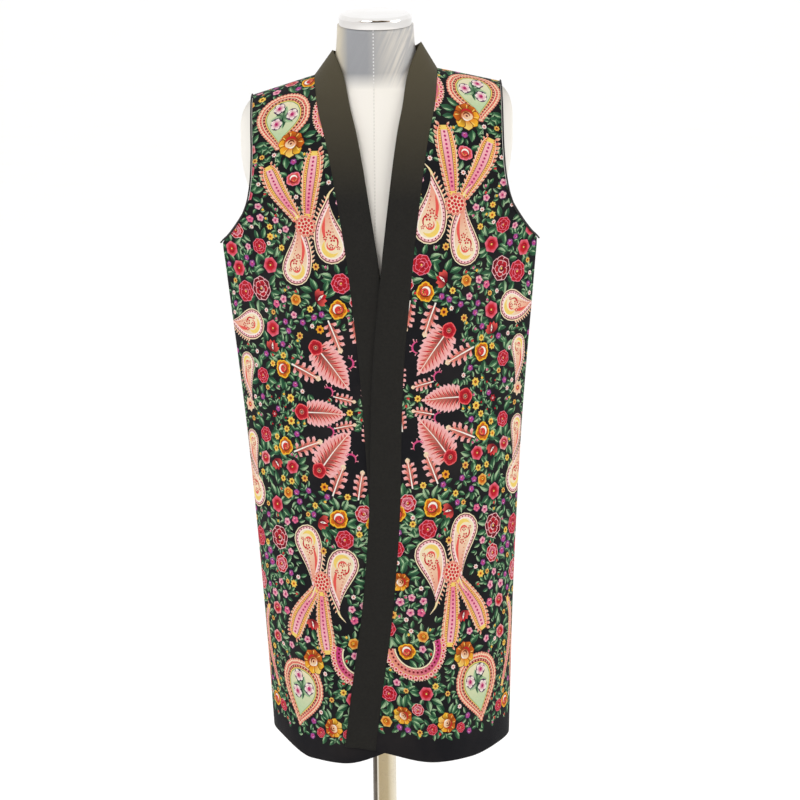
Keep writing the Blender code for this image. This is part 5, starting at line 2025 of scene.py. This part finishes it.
def room_light():
    """A white room with a darker side behind the viewer, uneven as a real one."""
    world = bpy.data.worlds.new("studio")
    world.use_nodes = True
    bpy.context.scene.world = world
    tree = world.node_tree

    def node(kind, inputs):
        made = tree.nodes.new(kind)
        for name, value in inputs.items():
            if isinstance(value, bpy.types.NodeSocket):
                tree.links.new(value, made.inputs[name])
            else:
                made.inputs[name].default_value = value
        return made

    direction = tree.nodes.new("ShaderNodeTexCoord").outputs["Generated"]
    depth = node("ShaderNodeSeparateXYZ", {"Vector": direction}).outputs["Y"]
    span = {"Value": depth, "From Min": -1.0, "From Max": 1.0}
    shift = node("ShaderNodeMapRange", span).outputs["Result"]
    patches = node("ShaderNodeTexNoise", {"Vector": direction, "Scale": 4.0}).outputs["Fac"]
    rough = node("ShaderNodeMath", {0: patches, 1: 0.30, 2: shift})
    rough.operation = "MULTIPLY_ADD"
    lowered = node("ShaderNodeMath", {0: rough.outputs["Value"], 1: 0.15})
    lowered.operation = "SUBTRACT"
    ramp = node("ShaderNodeValToRGB", {"Fac": lowered.outputs["Value"]})
    set_stops(ramp, ROOM_STOPS)
    behind = tree.nodes["Background"]
    tree.links.new(ramp.outputs["Color"], behind.inputs["Color"])
    behind.inputs["Strength"].default_value = ROOM_STRENGTH


def studio():
    """A pale floor that fills the picture, the light of a white room, and the camera."""
    look = Look("floor", roughness=0.9)
    paper = look.noise(look.place(), 3.0, 2.0)
    tone = look.blend(look.ranged(paper, 0.0, 1.0), opaque((250, 250, 250)), opaque((255, 255, 255)))
    look.join(tone, "Base Color")
    reach = 400.0
    corners = [(-reach, -reach, 0), (reach, -reach, 0), (reach, reach, 0), (-reach, reach, 0)]
    floor = bpy.data.meshes.new("floor")
    floor.from_pydata(corners, [], [(0, 1, 2, 3)])
    floor.materials.append(look.material)
    made = in_scene("floor", floor)
    made.location = (0.0, 0.0, -0.0005)

    room_light()
    soft_light("key", (-1.6, -3.2, 3.4), (0.0, 0.0, 1.0), 2.2, 50)
    soft_light("side", (3.0, -1.4, 2.0), (0.0, 0.0, 1.0), 2.4, 20, (1.0, 0.95, 0.88))

    camera = bpy.data.cameras.new("photo")
    camera.lens = 121.5
    camera.sensor_width = 36.0
    camera.clip_end = 2000.0
    view = in_scene("photo", camera)
    view.matrix_world = (
        Matrix.Translation((0.030, -4.0, 1.60))
        @ Matrix.Rotation(math.radians(80.22), 4, "X")
        @ Matrix.Rotation(math.radians(-0.65), 4, "Z")
    )
    bpy.context.scene.camera = view
    bpy.context.scene.view_settings.view_transform = "Standard"


def dress_the_frame():
    """Makes every piece in place of its solids, the cloth ones with UV maps of their flat cut."""
    motifs = drawn_motifs()
    leaves, flowers = filling(motifs)
    half = leaves + motifs + flowers
    left = placed(half, 1, FRONT_WITHIN, FRONT_LEAST_AREA, LEFT_STRETCH, LEFT_START, LEFT_SHIFT)
    right = placed(half, -1, FRONT_WITHIN, FRONT_LEAST_AREA)
    back = placed(half, 1, BACK_WITHIN, BACK_LEAST_AREA)
    cloth, band, edge = printed_cloth(), band_cloth(), edging_cloth()
    steel = polished("steel", (176, 160, 128), 0.16)
    tube = polished("tube", (186, 171, 140), 0.16, TUBE_PAINTED_REFLECTIONS)
    chrome = polished("chrome", (226, 224, 222), 0.045)
    for name, make, words, look, node, slot in (
        ("front_left_cloth", front_mesh, (1, "top", left), cloth, "front_left", "printed_cloth"),
        ("front_right_cloth", front_mesh, (-1, "under", right), cloth, "front_right", "printed_cloth"),
        ("back_cloth", back_mesh, (back,), cloth, "back", "printed_cloth"),
        ("band_left_cloth", band_mesh, (1, "top"), band, "band_left", "band_cloth"),
        ("band_right_cloth", band_mesh, (-1, "under"), band, "band_right", "band_cloth"),
        ("armhole_edging_left_roll", edging_mesh, (1,), edge, "armhole_edging_left", "edging_cloth"),
        ("armhole_edging_right_roll", edging_mesh, (-1,), edge, "armhole_edging_right", "edging_cloth"),
        ("form_cover", form_mesh, (), form_cover(), "form_torso", "form_cover"),
        ("neck_cap", cap_mesh, (), chrome, "form_neck_cap", "chrome"),
        ("pole", pole_mesh, (), tube, "stand_pole", "steel"),
        ("base", base_mesh, (), steel, "stand_base", "steel"),
    ):
        placed_piece(make(name, *words), look, node)


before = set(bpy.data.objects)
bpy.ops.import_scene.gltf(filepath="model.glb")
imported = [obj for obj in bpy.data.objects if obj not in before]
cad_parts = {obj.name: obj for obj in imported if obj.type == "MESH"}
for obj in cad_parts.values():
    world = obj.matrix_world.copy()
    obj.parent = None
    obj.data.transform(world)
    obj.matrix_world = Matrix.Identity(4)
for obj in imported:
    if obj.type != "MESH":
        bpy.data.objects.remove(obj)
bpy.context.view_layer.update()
dress_the_frame()
studio()
